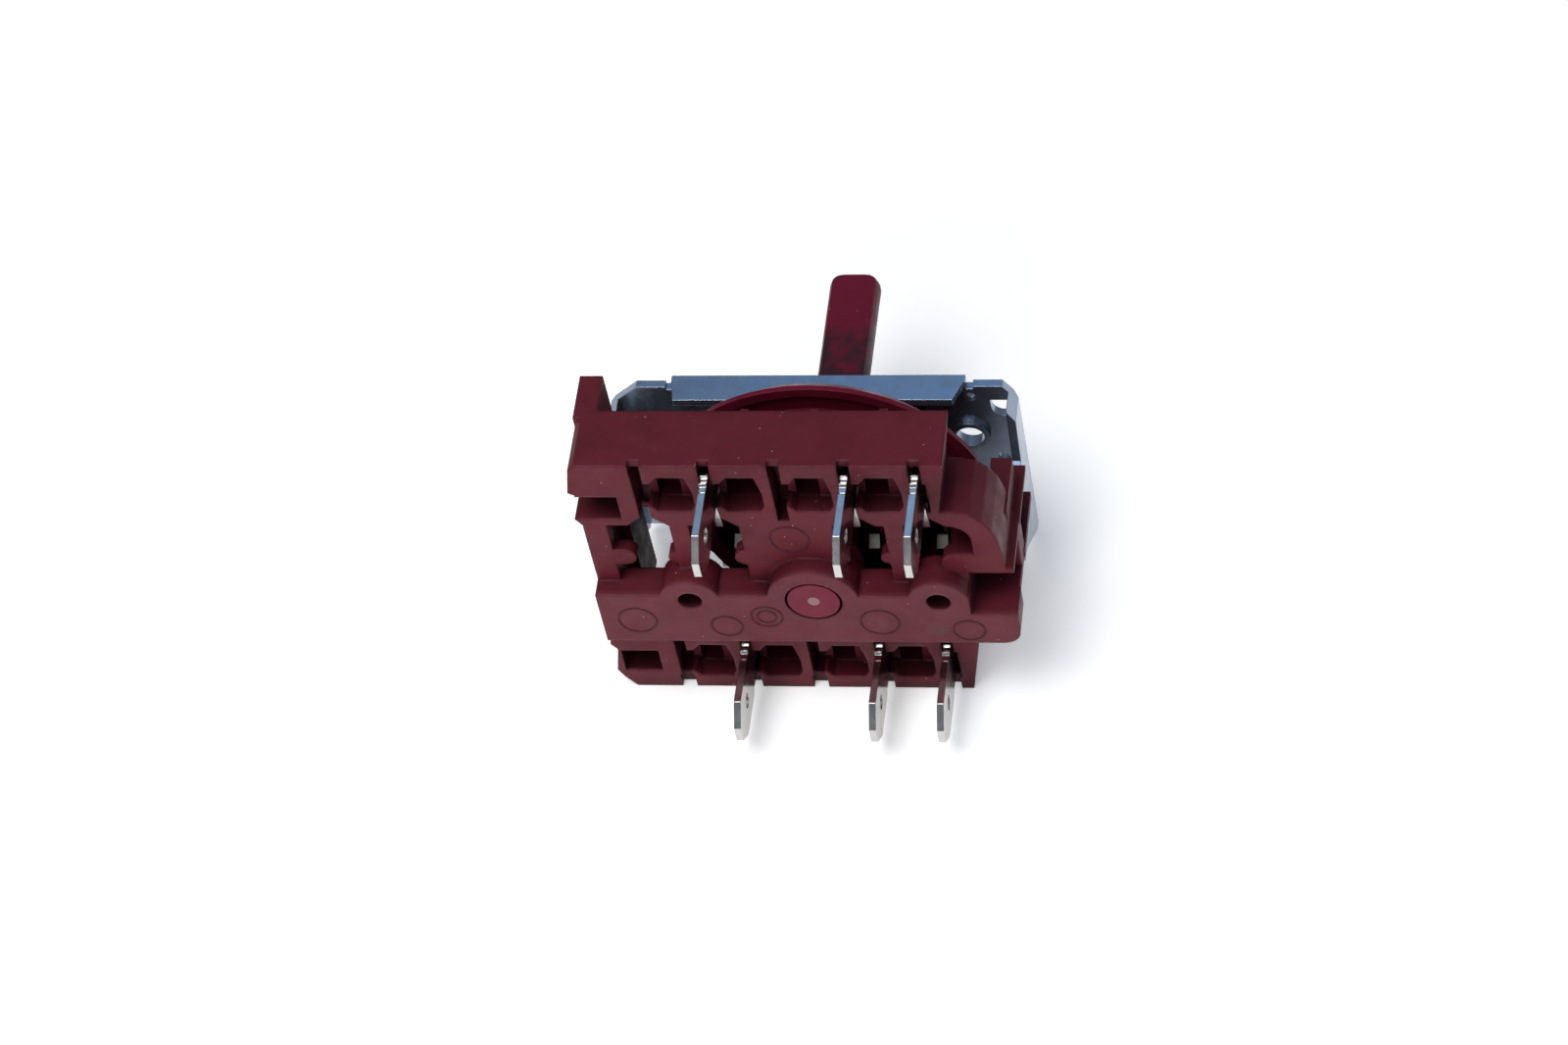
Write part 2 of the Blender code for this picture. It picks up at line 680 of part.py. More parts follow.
def rail_joins():
    """Rail with its bosses, and the longer journal boss behind it."""
    return [
        prism_xz("rail", rail_outline(), RAIL_Y, DECK_Y + DECK_WALL + 0.2 * MM),
    ]


def post_joins():
    """Posts that stand on the block's front, for the bracket's legs."""
    root_y = BASE_FRONT_Y - 1.0 * MM
    left_post = (LEFT_POST_X, LEFT_POST_X + POST_WIDTH)
    top_z, bottom_z = BASE_TOP_Z - 0.05 * MM, BASE_BOTTOM_Z + 0.05 * MM
    left_face = PLATE_LEFT_X + SHEET + SEAT
    low_right = (RIGHT_POST_INNER_X, RIGHT_POST_INNER_X + LOW_POST_WALL)
    low_left = (left_face, left_face + LOW_POST_WALL)
    return [
        rod_y("journal_boss", (0, 0), JOURNAL_BOSS_RADIUS - 0.1 * MM, RAIL_Y + 1.0 * MM,
              JOURNAL_BOSS_LENGTH, FINE_SIDES),
        box("post_upper_left", left_post, (root_y, POST_FRONT_Y), (top_z - UPPER_POST_HEIGHT, top_z)),
        box("post_lower_left", left_post, (root_y, POST_FRONT_Y),
            (bottom_z, bottom_z + LOWER_POST_HEIGHT)),
        box("post_side_left", (left_face, left_face + POST_WIDTH - 0.3 * MM), (root_y, POST_FRONT_Y),
            (SIDE_POST_LOW_Z, SIDE_POST_TOP_Z)),
        box("post_side_right", (RIGHT_POST_INNER_X + 0.05 * MM, RIGHT_POST_X),
            (RECESS_BACK_Y + 0.4 * MM, POST_FRONT_Y), (LOW_POST_TOP_Z - 0.2 * MM, SIDE_POST_TOP_Z)),
        box("post_low_right", low_right, (RECESS_BACK_Y + 0.6 * MM, LOW_POST_FRONT_Y),
            (SIDE_POST_LOW_Z, LOW_POST_TOP_Z)),
        box("post_low_left", (low_left[0] + 0.05 * MM, low_left[1]), (POST_FRONT_Y - 1.0 * MM, LOW_POST_FRONT_Y),
            (SIDE_POST_LOW_Z + 0.3 * MM, LOW_POST_TOP_Z)),
    ]


def foot_joins():
    """The right post's foot, the catch lugs and ribs beside the legs, and the partition nubs."""
    low_z = LUG_TOP_Z - LUG_WALL
    root_right = RIGHT_POST_INNER_X + LOW_POST_WALL - 0.2 * MM
    root_left = PLATE_LEFT_X + SHEET + 2 * SEAT
    catch = [(RIB_X[0], BASE_FRONT_Y - 1.0 * MM), (RIB_X[1], BASE_FRONT_Y - 1.0 * MM),
             (RIB_X[1], LUG_FRONT_Y), (root_right, LUG_FRONT_Y), (root_right, LUG_REAR_Y),
             (RIB_X[0], LUG_REAR_Y)]
    joins = [
        box("post_foot_right", (ROW_RIGHT_X - OVERCUT, RIGHT_POST_INNER_X + LOW_POST_WALL - 0.15 * MM),
            (RECESS_BACK_Y, BASE_FRONT_Y - 0.3 * MM), (RIGHT_FOOT_LOW_Z, RAIL_BOTTOM_Z + OVERCUT)),
        prism_xy("catch_right", catch, low_z, LUG_TOP_Z),
        box("catch_left", (PLATE_LEFT_X + 0.1 * MM, root_left), (LUG_REAR_Y, LOW_POST_FRONT_Y - 0.1 * MM),
            (low_z, LUG_TOP_Z)),
        box("upper_rib", (RIGHT_POST_X - 0.4 * MM, RIB_X[1]),
            (BASE_FRONT_Y - 1.0 * MM, UPPER_RIB_FRONT_Y), UPPER_RIB_Z),
    ]
    for index in range(1, 4):
        x = column_x(index) + PARTITION_OFFSET
        joins.append(box(f"partition_nub_{index}", (x - NUB_HALF, x + NUB_HALF),
                         (BASE_FRONT_Y - 1.0 * MM, BASE_FRONT_Y + NUB_HALF),
                         (BASE_TOP_Z - 1.5 * MM, BASE_TOP_Z - 0.2 * MM)))
    return joins


def bore_cuts():
    """Journal bore, the two blind pin holes and the recess under the hook."""
    cuts = [
        rod_y("journal_bore", (0, 0), JOURNAL_RADIUS + JOURNAL_CLEARANCE, RAIL_Y - OVERCUT,
              JOURNAL_BOSS_LENGTH + OVERCUT, FINE_SIDES),
        rod_y("journal_relief", (0, 0), JOURNAL_RELIEF_RADIUS, RAIL_Y - 1.2 * OVERCUT,
              JOURNAL_RELIEF_DEPTH, FINE_SIDES),
        box("recess", (RECESS_LEFT_X, RAIL_RIGHT_X + OVERCUT), (RAIL_Y - OVERCUT, RECESS_BACK_Y),
            (RECESS_LOW_Z, HOOK_LOW_Z)),
    ]
    for side in (-1, 1):
        cuts.append(rod_y(f"pin_hole_{side}", (side * PIN_SPACING / 2, 0), PIN_HOLE_RADIUS,
                          RAIL_Y - OVERCUT, PIN_HOLE_DEPTH, SMALL_SIDES))
    return cuts


def build_contact_base(shop, finish):
    """Deck with its windows first, then rail and posts, then everything that is cored."""
    body = prism_xz("contact_base", base_outline(), DECK_Y, BASE_FRONT_Y)
    shop.add(body, finish)
    cavity = box("cavity", (BASE_LEFT_X + SIDE_WALL, RECESS_LEFT_X - SIDE_WALL),
                 (DECK_Y + DECK_WALL, BASE_FRONT_Y + OVERCUT), (CAVITY_LOW_Z, WINDOW_TOP_Z))
    ring_radius = column_x(COLUMNS - 1) + RING_WALL / 2 + 2 * SEAT
    cam_clearance = rod_y("cam_clearance", (0, 0), ring_radius, RING_REAR_Y - LOBE_RISE - 2 * SEAT,
                          BASE_FRONT_Y + OVERCUT, ROTOR_SIDES)
    shop.shape(body, "DIFFERENCE", [cavity])
    shop.shape(body, "DIFFERENCE", window_cuts() + corner_pocket_cuts())
    shop.shape(body, "UNION", rail_joins())
    shop.shape(body, "UNION", post_joins())
    shop.shape(body, "UNION", foot_joins())
    shop.shape(body, "DIFFERENCE", bore_cuts())
    shop.shape(body, "DIFFERENCE", cell_cuts(0) + cell_cuts(1))
    shop.shape(body, "DIFFERENCE", deep_cell_cuts(0) + deep_cell_cuts(1))
    shop.shape(body, "DIFFERENCE", peak_cuts())
    shop.shape(body, "DIFFERENCE", chamber_cuts())
    shop.shape(body, "DIFFERENCE", slot_cuts(0) + slot_cuts(1))
    shop.shape(body, "DIFFERENCE", notch_cuts())
    shop.shape(body, "DIFFERENCE", [cam_clearance])
    return body


def rotor_profile():
    """Radius and height along the axis, from the rear journal's centre round to the spindle tip."""
    rings = [(abs(column_x(index)), RING_WALL) for index in (3, 1, 4)]
    points = [(0.0, GATE_DEPTH), (GATE_RADIUS, GATE_DEPTH), (GATE_RADIUS, 0.0),
              (JOURNAL_RADIUS, 0.0), (JOURNAL_RADIUS, JOURNAL_BOSS_LENGTH + SEAT),
              (HUB_RADIUS, JOURNAL_BOSS_LENGTH + SEAT), (HUB_RADIUS, WEB_Y)]
    for radius, wall in rings:
        points += [(radius - wall / 2, WEB_Y), (radius - wall / 2, RING_REAR_Y),
                   (radius + wall / 2, RING_REAR_Y), (radius + wall / 2, WEB_Y)]
    web_front = WEB_Y + WEB_WALL
    points += [
        (RIM_RADIUS - RIM_WALL, WEB_Y),
        (RIM_RADIUS - RIM_WALL, RIM_REAR_Y),
        (RIM_RADIUS, RIM_REAR_Y),
        (RIM_RADIUS, RIM_REAR_Y + RIM_EDGE),
        (RIM_RADIUS - (web_front - RIM_REAR_Y - RIM_EDGE), web_front),
        (FRONT_HUB_RADIUS, web_front),
        (FRONT_HUB_RADIUS, PLATE_Y - SEAT),
        (FRONT_JOURNAL_RADIUS, PLATE_Y - SEAT),
        (FRONT_JOURNAL_RADIUS, PLATE_Y + SHEET + SEAT),
        (SPINDLE_RADIUS, PLATE_Y + SHEET + SEAT),
    ]
    tip = arc((SPINDLE_RADIUS - SPINDLE_TIP_ROUND, SPINDLE_TIP_Y - SPINDLE_TIP_ROUND),
              SPINDLE_TIP_ROUND, 0, 90, 4)
    return points + tip + [(0.0, SPINDLE_TIP_Y)]


def cam_lobe(name, radius, angle_deg):
    """A ramped raised stretch of a cam ring, made by turning its section through a small angle."""
    half_flat = math.radians(10.0)
    ramp = math.radians(LOBE_RAMP_DEG)
    inner = radius - RING_WALL / 2 + LOBE_INSET
    outer = radius + RING_WALL / 2 - LOBE_INSET
    root_z = RING_REAR_Y + 0.6 * MM
    stations = [(-half_flat - ramp, RING_REAR_Y + 0.05 * MM), (-half_flat, RING_REAR_Y - LOBE_RISE),
                (0.0, RING_REAR_Y - LOBE_RISE), (half_flat, RING_REAR_Y - LOBE_RISE),
                (half_flat + ramp, RING_REAR_Y + 0.05 * MM)]
    shape = bmesh.new()
    loops = []
    for offset, top_z in stations:
        turn = math.radians(angle_deg) + offset
        along = Vector((math.cos(turn), math.sin(turn), 0))
        corners = [along * inner + Vector((0, 0, root_z)), along * outer + Vector((0, 0, root_z)),
                   along * outer + Vector((0, 0, top_z)), along * inner + Vector((0, 0, top_z))]
        verts = [shape.verts.new(corner) for corner in corners]
        edges = [shape.edges.new((verts[i], verts[(i + 1) % 4])) for i in range(4)]
        loops.append(edges)
    for first, second in zip(loops, loops[1:]):
        bmesh.ops.bridge_loops(shape, edges=first + second)
    bmesh.ops.holes_fill(shape, edges=loops[0] + loops[-1], sides=4)
    bmesh.ops.recalc_face_normals(shape, faces=shape.faces)
    mesh = bpy.data.meshes.new(name)
    shape.to_mesh(mesh)
    shape.free()
    return mesh_object(name, mesh)


def star_outline():
    """The detent star: as many valleys as positions."""
    points = []
    steps = STAR_TEETH * 8
    for i in range(steps):
        angle = 2 * math.pi * i / steps
        wave = (1 - math.cos(STAR_TEETH * angle)) / 2
        radius = STAR_VALLEY + STAR_RISE * wave
        points.append((radius * math.cos(angle), radius * math.sin(angle)))
    return points


def build_rotor(shop, finish):
    """Journal, cam rings, detent star and D spindle are one moulding, turned about the joint axis."""
    shape = bmesh.new()
    verts = [shape.verts.new((radius, 0, height)) for radius, height in rotor_profile()]
    for first, second in zip(verts, verts[1:]):
        shape.edges.new((first, second))
    mesh = bpy.data.meshes.new("cam_rotor")
    shape.to_mesh(mesh)
    shape.free()
    rotor = shop.add(mesh_object("cam_rotor", mesh), finish)
    lie = (math.radians(-90), 0, 0)
    rotor.rotation_euler = lie
    screw = rotor.modifiers.new("Turn", "SCREW")
    screw.axis = "Z"
    screw.steps = ROTOR_SIDES
    screw.render_steps = ROTOR_SIDES
    screw.use_merge_vertices = True
    screw.merge_threshold = 0.001 * MM
    screw.use_normal_calculate = True
    solids = [prism_xy("detent_star", star_outline(), STAR_Y, STAR_Y + STAR_WIDTH)]
    for index, angles in PROGRAM_DEG.items():
        centre = 0.0 if column_x(index) > 0 else 180.0
        for angle in angles:
            solids.append(cam_lobe(f"lobe_{index}_{angle}", abs(column_x(index)), centre + angle))
    flat_start = PLATE_Y + SHEET + SEAT + SPINDLE_FLAT_START
    reach = SPINDLE_RADIUS + OVERCUT
    flat = box("spindle_flat", (-reach, reach), (-reach, -SPINDLE_FLAT_Z),
               (flat_start, SPINDLE_TIP_Y + OVERCUT))
    for solid in solids + [flat]:
        solid.rotation_euler = lie
    shop.shape(rotor, "UNION", solids)
    shop.shape(rotor, "DIFFERENCE", [flat])
    return rotor


def ear_outline(side):
    """What is cut away over one ear: its lowered top edge and its slanted outer corner."""
    if side > 0:
        edge_x, inner_x, (wide, high) = PLATE_RIGHT_X, FLANGE_RIGHT_X + RELIEF / 2, RIGHT_EAR_CHAMFER
    else:
        edge_x, inner_x, (wide, high) = PLATE_LEFT_X, FLANGE_LEFT_X - RELIEF / 2, LEFT_EAR_CHAMFER
    beyond = OVERCUT
    return [
        (inner_x, PLATE_TOP_Z + OVERCUT),
        (inner_x, EAR_TOP_Z),
        (edge_x - side * wide, EAR_TOP_Z),
        (edge_x + side * beyond, EAR_TOP_Z - high - beyond * high / wide),
        (edge_x + side * beyond, PLATE_TOP_Z + OVERCUT),
    ]


def key_hole_outline():
    """A square hole with one rounded corner."""
    left, right, low, high = KEY_HOLE
    bend = arc((left + KEY_HOLE_ROUND, low + KEY_HOLE_ROUND), KEY_HOLE_ROUND, 180, 270, 5)
    return [(right, low), (right, high), (left, high)] + bend


def build_bracket(shop, finish):
    """Plate, side legs, top flange, lower spring shelf and tapped collars of one folded sheet."""
    front = PLATE_Y + SHEET
    left, right = PLATE_LEFT_X, PLATE_RIGHT_X
    bend = 0.5 * MM
    channel = [
        (left, front - bend), (left + bend, front), (right - bend, front), (right, front - bend),
        (right, LEG_REAR_Y), (right - SHEET, LEG_REAR_Y), (right - SHEET, PLATE_Y),
        (left + SHEET, PLATE_Y), (left + SHEET, LEG_REAR_Y), (left, LEG_REAR_Y),
    ]
    bracket = prism_xy("mounting_bracket", channel, PLATE_BOTTOM_Z, PLATE_TOP_Z)
    shop.add(bracket, finish)
    middle = (FLANGE_LEFT_X + FLANGE_RIGHT_X) / 2
    flange = [(FLANGE_LEFT_X, front - OVERCUT), (FLANGE_RIGHT_X, front - OVERCUT),
              (FLANGE_RIGHT_X - FLANGE_SLANT, front - FLANGE_REACH),
              (FLANGE_LEFT_X + FLANGE_SLANT * 0.4, front - FLANGE_REACH)]
    joins = [
        prism_xy("top_flange", flange, PLATE_TOP_Z - SHEET, PLATE_TOP_Z),
        box("spring_shelf", (middle - SPRING_SHELF_HALF, middle + SPRING_SHELF_HALF),
            (front - SPRING_SHELF_REACH, front - OVERCUT),
            (PLATE_BOTTOM_Z, PLATE_BOTTOM_Z + SHEET)),
    ]
    for side in (-1, 1):
        joins.append(rod_y(f"collar_{side}", (side * SCREW_SPACING / 2, 0), COLLAR_RADIUS,
                           PLATE_Y - COLLAR_HEIGHT, PLATE_Y + SHEET / 2, SMALL_SIDES))
    joins.append(rod_y("pimple", (PIMPLE_X, PIMPLE_Z), PIMPLE_RADIUS * 0.6, PLATE_Y - PIMPLE_HEIGHT,
                       PLATE_Y + SHEET / 2, SMALL_SIDES, PIMPLE_RADIUS * 2))
    shop.shape(bracket, "UNION", joins)
    wide = 40 * MM
    behind = LEG_REAR_Y - OVERCUT
    upper_cut = [(LEG_EDGE_Y, PLATE_TOP_Z + OVERCUT), (LEG_SHOULDER_Y, LEG_TONGUE_TOP_Z + 0.4 * MM),
                 (behind, LEG_TONGUE_TOP_Z), (behind, PLATE_TOP_Z + OVERCUT)]
    lower_cut = [(front - SHEET, PLATE_BOTTOM_Z - OVERCUT), (LEG_LOW_Y, LEG_LOW_Z),
                 (behind, LEG_TONGUE_BOTTOM_Z), (behind, PLATE_BOTTOM_Z - OVERCUT)]
    cuts = []
    for name, x_span in (("right", (right - 2 * SHEET, wide)), ("left", (-wide, left + 2 * SHEET))):
        cuts.append(prism_yz("leg_upper_" + name, upper_cut, *x_span))
        cuts.append(prism_yz("leg_lower_" + name, lower_cut, *x_span))
        cuts.append(box("leg_window_" + name, x_span, (LUG_REAR_Y - SEAT, LUG_FRONT_Y + SEAT),
                        (LUG_TOP_Z - LUG_WALL - SEAT, LUG_TOP_Z + SEAT)))
    for side in (-1, 1):
        cuts.append(prism_xz(f"ear_{side}", ear_outline(side), LEG_REAR_Y - 2 * OVERCUT,
                             front + OVERCUT))
    for edge_x in (FLANGE_LEFT_X - RELIEF / 2, FLANGE_RIGHT_X + RELIEF / 2):
        cuts.append(box(f"relief_{round(edge_x / MM)}", (edge_x - RELIEF / 2, edge_x + RELIEF / 2),
                        (PLATE_Y - OVERCUT, front + OVERCUT),
                        (PLATE_TOP_Z - RELIEF_DEPTH, PLATE_TOP_Z + 2 * OVERCUT)))
    for side in (-1, 1):
        cuts.append(rod_y(f"tapped_hole_{side}", (side * SCREW_SPACING / 2, 0), TAPPED_RADIUS,
                          PLATE_Y - COLLAR_HEIGHT - OVERCUT, front + OVERCUT, SMALL_SIDES))
    cuts.append(rod_y("spindle_bore", (0, 0), FRONT_JOURNAL_RADIUS + SPINDLE_BORE_CLEARANCE,
                      PLATE_Y - OVERCUT, front + OVERCUT, FINE_SIDES))
    cuts.append(prism_xz("key_hole", key_hole_outline(), PLATE_Y - OVERCUT, front + OVERCUT))
    cuts.append(rod_y("pip_hole", (PIP_HOLE_X, PIP_HOLE_Z), PIP_HOLE_RADIUS,
                      PLATE_Y - OVERCUT, front + OVERCUT, SMALL_SIDES))
    shop.shape(bracket, "DIFFERENCE", cuts)
    return bracket


def blade_outline(row, foot_y):
    """Tab, neck and inner plate of a terminal, as Y and Z points about the tab's own centre line."""
    half = TAB_WIDTH / 2
    tip = TAB_TIP_WIDTH / 2
    neck = half - NECK_DROP
    inner_y = foot_y + FOOT_WALL
    tooth = NECK_TOOTH
    inner = half - INNER_DROP
    prong_z = -PRONG_REACH
    foot_z = -FOOT_REACH
    upper = [(TAB_TIP_Y, tip), (TAB_TIP_Y + TAB_TAPER, half), (-0.2 * MM, half),
             (0.1 * MM, neck), (0.8 * MM, neck), (1.0 * MM, neck + tooth), (1.5 * MM, neck),
             (1.9 * MM, neck), (2.1 * MM, neck + tooth), (2.6 * MM, neck), (3.0 * MM, inner),
             (inner_y, inner)]
    if row == 0:
        lower = [(inner_y, foot_z), (4.4 * MM, foot_z), (4.2 * MM, prong_z),
                 (3.4 * MM, prong_z + 0.5 * MM), (2.6 * MM, -half + 0.4 * MM), (-0.2 * MM, -half)]
    else:
        lower = [(inner_y, -half + 0.4 * MM), (0.1 * MM, -half + 0.4 * MM), (-0.2 * MM, -half)]
    return upper + lower + [(TAB_TIP_Y + TAB_TAPER, -half), (TAB_TIP_Y, -tip)]


def build_terminal(shop, finish, name, row, index, foot_y):
    """A stamped blade with its inner foot folded across the column."""
    thick = TAB_THICKNESS / 2
    blade = prism_yz(name, blade_outline(row, foot_y), -thick, thick)
    blade.location = (column_x(index), 0, TAB_Z + row_shift(row))
    shop.add(blade, finish)
    foot_top = TAB_WIDTH / 2 - INNER_DROP
    foot_low = -FOOT_REACH if row == 0 else -TAB_WIDTH / 2 + 0.4 * MM
    foot = box(name + "_foot", (thick - FOOT_WIDTH, thick - 0.1 * MM), (foot_y, foot_y + FOOT_WALL),
               (foot_low + 0.02 * MM, foot_top - 0.02 * MM))
    foot.location = blade.location
    shop.shape(blade, "UNION", [foot])
    hole_radius = (CONTACT_SHANK_RADIUS if row == 0 else RIVET_SHANK_RADIUS) + CLOSE_SEAT
    cuts = [
        rod_x(name + "_hole", (TAB_HOLE_Y, 0), TAB_HOLE_RADIUS, -thick - OVERCUT, thick + OVERCUT,
              SMALL_SIDES),
        rod_y(name + "_rivet_hole", (CONTACT_X, 0), hole_radius, foot_y - OVERCUT,
              foot_y + FOOT_WALL + OVERCUT, SMALL_SIDES),
    ]
    for cut in cuts:
        cut.location = blade.location
    shop.shape(blade, "DIFFERENCE", cuts)
    return blade


def lower_foot_y():
    return SPRING_Y - CLOSE_SEAT - FOOT_WALL


def turned_pin(name, centre_xz, steps, sides):
    """A stepped pin along Y: each step is a radius with where it starts and ends."""
    shape = bmesh.new()
    points = [(0.0, steps[0][1])]
    for radius, start, end in steps:
        points += [(radius, start), (radius, end)]
    points.append((0.0, steps[-1][2]))
    verts = [shape.verts.new((radius, 0, along)) for radius, along in points]
    edges = [shape.edges.new(pair) for pair in zip(verts, verts[1:])]
    bmesh.ops.spin(shape, geom=verts + edges, cent=(0, 0, 0), axis=(0, 0, 1),
                   angle=2 * math.pi, steps=sides, use_merge=True, use_duplicate=False)
    bmesh.ops.remove_doubles(shape, verts=shape.verts, dist=0.001 * MM)
    bmesh.ops.recalc_face_normals(shape, faces=shape.faces)
    mesh = bpy.data.meshes.new(name)
    shape.to_mesh(mesh)
    shape.free()
    pin = mesh_object(name, mesh)
    pin.rotation_euler = (math.radians(-90), 0, 0)
    pin.location = (centre_xz[0], 0, centre_xz[1])
    return pin


def spring_outline():
    """Front view of a contact spring: wide at its rivet and contact, waisted at the cam nose."""
    half = SPRING_WIDTH / 2
    waist = SPRING_WAIST / 2
    pivot = TAB_Z - ROW_DROP
    low = pivot - TAB_WIDTH / 2 + 0.6 * MM
    neck_low = -NOSE_HALF - 0.6 * MM
    wide_right, wide_left = CONTACT_X + half, CONTACT_X - half
    wide_z = SPRING_NECK_Z + SPRING_NECK_TAPER
    corner = 0.8 * MM
    root = pivot + SPRING_ROOT
    return [
        (wide_right, low), (wide_right, root), (waist, neck_low), (waist, SPRING_NECK_Z),
        (wide_right, wide_z), (wide_right, SPRING_TOP_Z - corner), (wide_right - corner, SPRING_TOP_Z),
        (wide_left + corner, SPRING_TOP_Z), (wide_left, SPRING_TOP_Z - corner), (wide_left, wide_z),
        (-waist, SPRING_NECK_Z), (-waist, neck_low), (wide_left, root), (wide_left, low),
    ]


def build_contact_set(shop, index, finishes):
    """Spring with its cam nose, the moving and fixed contacts and the rivet of one column."""
    x = column_x(index)
    number = index + 1
    pivot_z = TAB_Z - ROW_DROP
    spring = prism_xz(f"contact_spring_{number}", spring_outline(), SPRING_Y, SPRING_Y + SPRING_SHEET)
    spring.data.transform(Matrix.Translation((0, -SPRING_Y, -pivot_z)))
    spring.location = (x, SPRING_Y, pivot_z)
    shop.add(spring, finishes["spring"])
    nose_front = SPRING_SHEET + NOSE_REACH
    nose_z = -pivot_z
    waist = SPRING_WAIST / 2 - 0.02 * MM
    nose = [(SPRING_SHEET / 2, nose_z - NOSE_HALF), (nose_front, nose_z - 0.5 * MM),
            (nose_front, nose_z + 0.5 * MM), (SPRING_SHEET / 2, nose_z + NOSE_HALF)]
    bump = prism_yz(f"nose_{number}", nose, -waist, waist)
    hollow = [(y - SPRING_SHEET, z) for y, z in nose]
    hollow[0] = (-OVERCUT, nose_z - NOSE_HALF + SPRING_SHEET)
    hollow[3] = (-OVERCUT, nose_z + NOSE_HALF - SPRING_SHEET)
    groove = prism_yz(f"nose_hollow_{number}", hollow, -waist - OVERCUT, waist + OVERCUT)
    contact_z = TAB_Z - pivot_z
    holes = [groove]
    for tag, z, radius in (("contact", contact_z, CONTACT_SHANK_RADIUS), ("rivet", 0.0, RIVET_SHANK_RADIUS)):
        holes.append(rod_y(f"spring_{tag}_hole_{number}", (CONTACT_X, z), radius + CLOSE_SEAT,
                           -OVERCUT, SPRING_SHEET + OVERCUT, SMALL_SIDES))
    for solid in [bump] + holes:
        solid.location = spring.location
    shop.shape(spring, "UNION", [bump])
    shop.shape(spring, "DIFFERENCE", holes)

    contact_x = x + CONTACT_X
    rear = SPRING_Y - CLOSE_SEAT
    moving = turned_pin(f"moving_contact_{number}", (contact_x, TAB_Z),
                        [(CONTACT_RADIUS, rear - CONTACT_HEAD, rear),
                         (CONTACT_SHANK_RADIUS, rear, SPRING_Y + SPRING_SHEET)], SMALL_SIDES)
    shop.add(moving, finishes["contact"])
    pad_front = UPPER_FOOT_Y + FOOT_WALL
    fixed = turned_pin(f"fixed_contact_{number}", (contact_x, TAB_Z),
                       [(CONTACT_SHANK_RADIUS, UPPER_FOOT_Y, pad_front + CLOSE_SEAT),
                        (CONTACT_RADIUS, pad_front + CLOSE_SEAT, pad_front + CLOSE_SEAT + CONTACT_HEAD)],
                       SMALL_SIDES)
    shop.add(fixed, finishes["contact"])
    foot_y = lower_foot_y()
    spring_front = SPRING_Y + SPRING_SHEET
    rivet = turned_pin(f"spring_rivet_{number}", (contact_x, pivot_z),
                       [(RIVET_TAIL_RADIUS, foot_y - CLOSE_SEAT - RIVET_HEAD, foot_y - CLOSE_SEAT),
                        (RIVET_SHANK_RADIUS, foot_y - CLOSE_SEAT, spring_front + CLOSE_SEAT),
                        (RIVET_HEAD_RADIUS, spring_front + CLOSE_SEAT,
                         spring_front + CLOSE_SEAT + RIVET_HEAD)], SMALL_SIDES)
    shop.add(rivet, finishes["rivet"])


def strip_outline(path, thickness):
    """A thin strip of even thickness along a path, as a closed outline."""
    upper, lower = [], []
    for i, point in enumerate(path):
        before = Vector(path[max(i - 1, 0)])
        after = Vector(path[min(i + 1, len(path) - 1)])
        along = (after - before).normalized()
        side = Vector((-along.y, along.x)) * thickness / 2
        upper.append(tuple(Vector(point) + side))
        lower.append(tuple(Vector(point) - side))
    return upper + lower[::-1]


def build_detent(shop, finishes):
    """Steel roller in the trough of a bowed leaf spring, below the star."""
    roller_z = -(STAR_VALLEY + SEAT + ROLLER_RADIUS)
    half_length = ROLLER_LENGTH / 2
    middle_y = ROLLER_Y + half_length
    roller = rod_y("detent_roller", (0, 0), ROLLER_RADIUS, middle_y - half_length,
                   middle_y + half_length, FINE_SIDES)
    roller.location = (0, 0, roller_z)
    shop.add(roller, finishes["steel"])
    under = roller_z - ROLLER_RADIUS - SEAT - DETENT_SHEET / 2
    side = ROLLER_RADIUS + SEAT + DETENT_SHEET / 2
    shelf = PLATE_BOTTOM_Z + SHEET + SEAT + DETENT_SHEET / 2
    half_span = DETENT_SPAN / 2
    rise = under + TROUGH_WALL
    right = [(side * 0.75, under), (side, under + 0.6 * MM), (side + 0.1 * MM, rise),
             (side + 0.9 * MM, rise + 0.1 * MM), (half_span * 0.55, rise - 0.5 * MM),
             (half_span * 0.85, shelf + 0.3 * MM), (half_span, shelf)]
    path = [(-x, z) for x, z in reversed(right)] + right
    spring = prism_xz("detent_spring", strip_outline(path, DETENT_SHEET),
                      middle_y - half_length, middle_y + half_length)
    shop.add(spring, finishes["spring"])
    return roller, spring


def main():
    clear_scene()
    shop = Workshop("rotary_cam_switch")
    base_finish = material("moulded_thermoset_maroon", (0.105, 0.024, 0.034), 0.55)
    rotor_finish = material("moulded_thermoset_crimson", (0.12, 0.014, 0.035), 0.45)
    zinc_finish = material("zinc_plated_steel", (0.62, 0.65, 0.68), 0.3, 1.0)
    tab_finish = material("nickel_plated_brass", (0.66, 0.65, 0.62), 0.25, 1.0)
    metals = {
        "spring": material("contact_strip", (0.38, 0.38, 0.36), 0.3, 1.0),
        "contact": material("silver_contact", (0.82, 0.82, 0.80), 0.25, 1.0),
        "rivet": material("rivet_brass", (0.60, 0.48, 0.25), 0.3, 1.0),
        "steel": material("spring_steel", (0.45, 0.45, 0.46), 0.3, 1.0),
    }
    build_contact_base(shop, base_finish)
    build_rotor(shop, rotor_finish)
    build_bracket(shop, zinc_finish)
    for index in WIRED_COLUMNS:
        build_terminal(shop, tab_finish, f"upper_terminal_{index + 1}", 0, index, UPPER_FOOT_Y)
        build_terminal(shop, tab_finish, f"lower_terminal_{index + 1}", 1, index, lower_foot_y())
        build_contact_set(shop, index, metals)
    build_detent(shop, {"steel": metals["steel"], "spring": metals["steel"]})
    bpy.context.view_layer.update()


main()
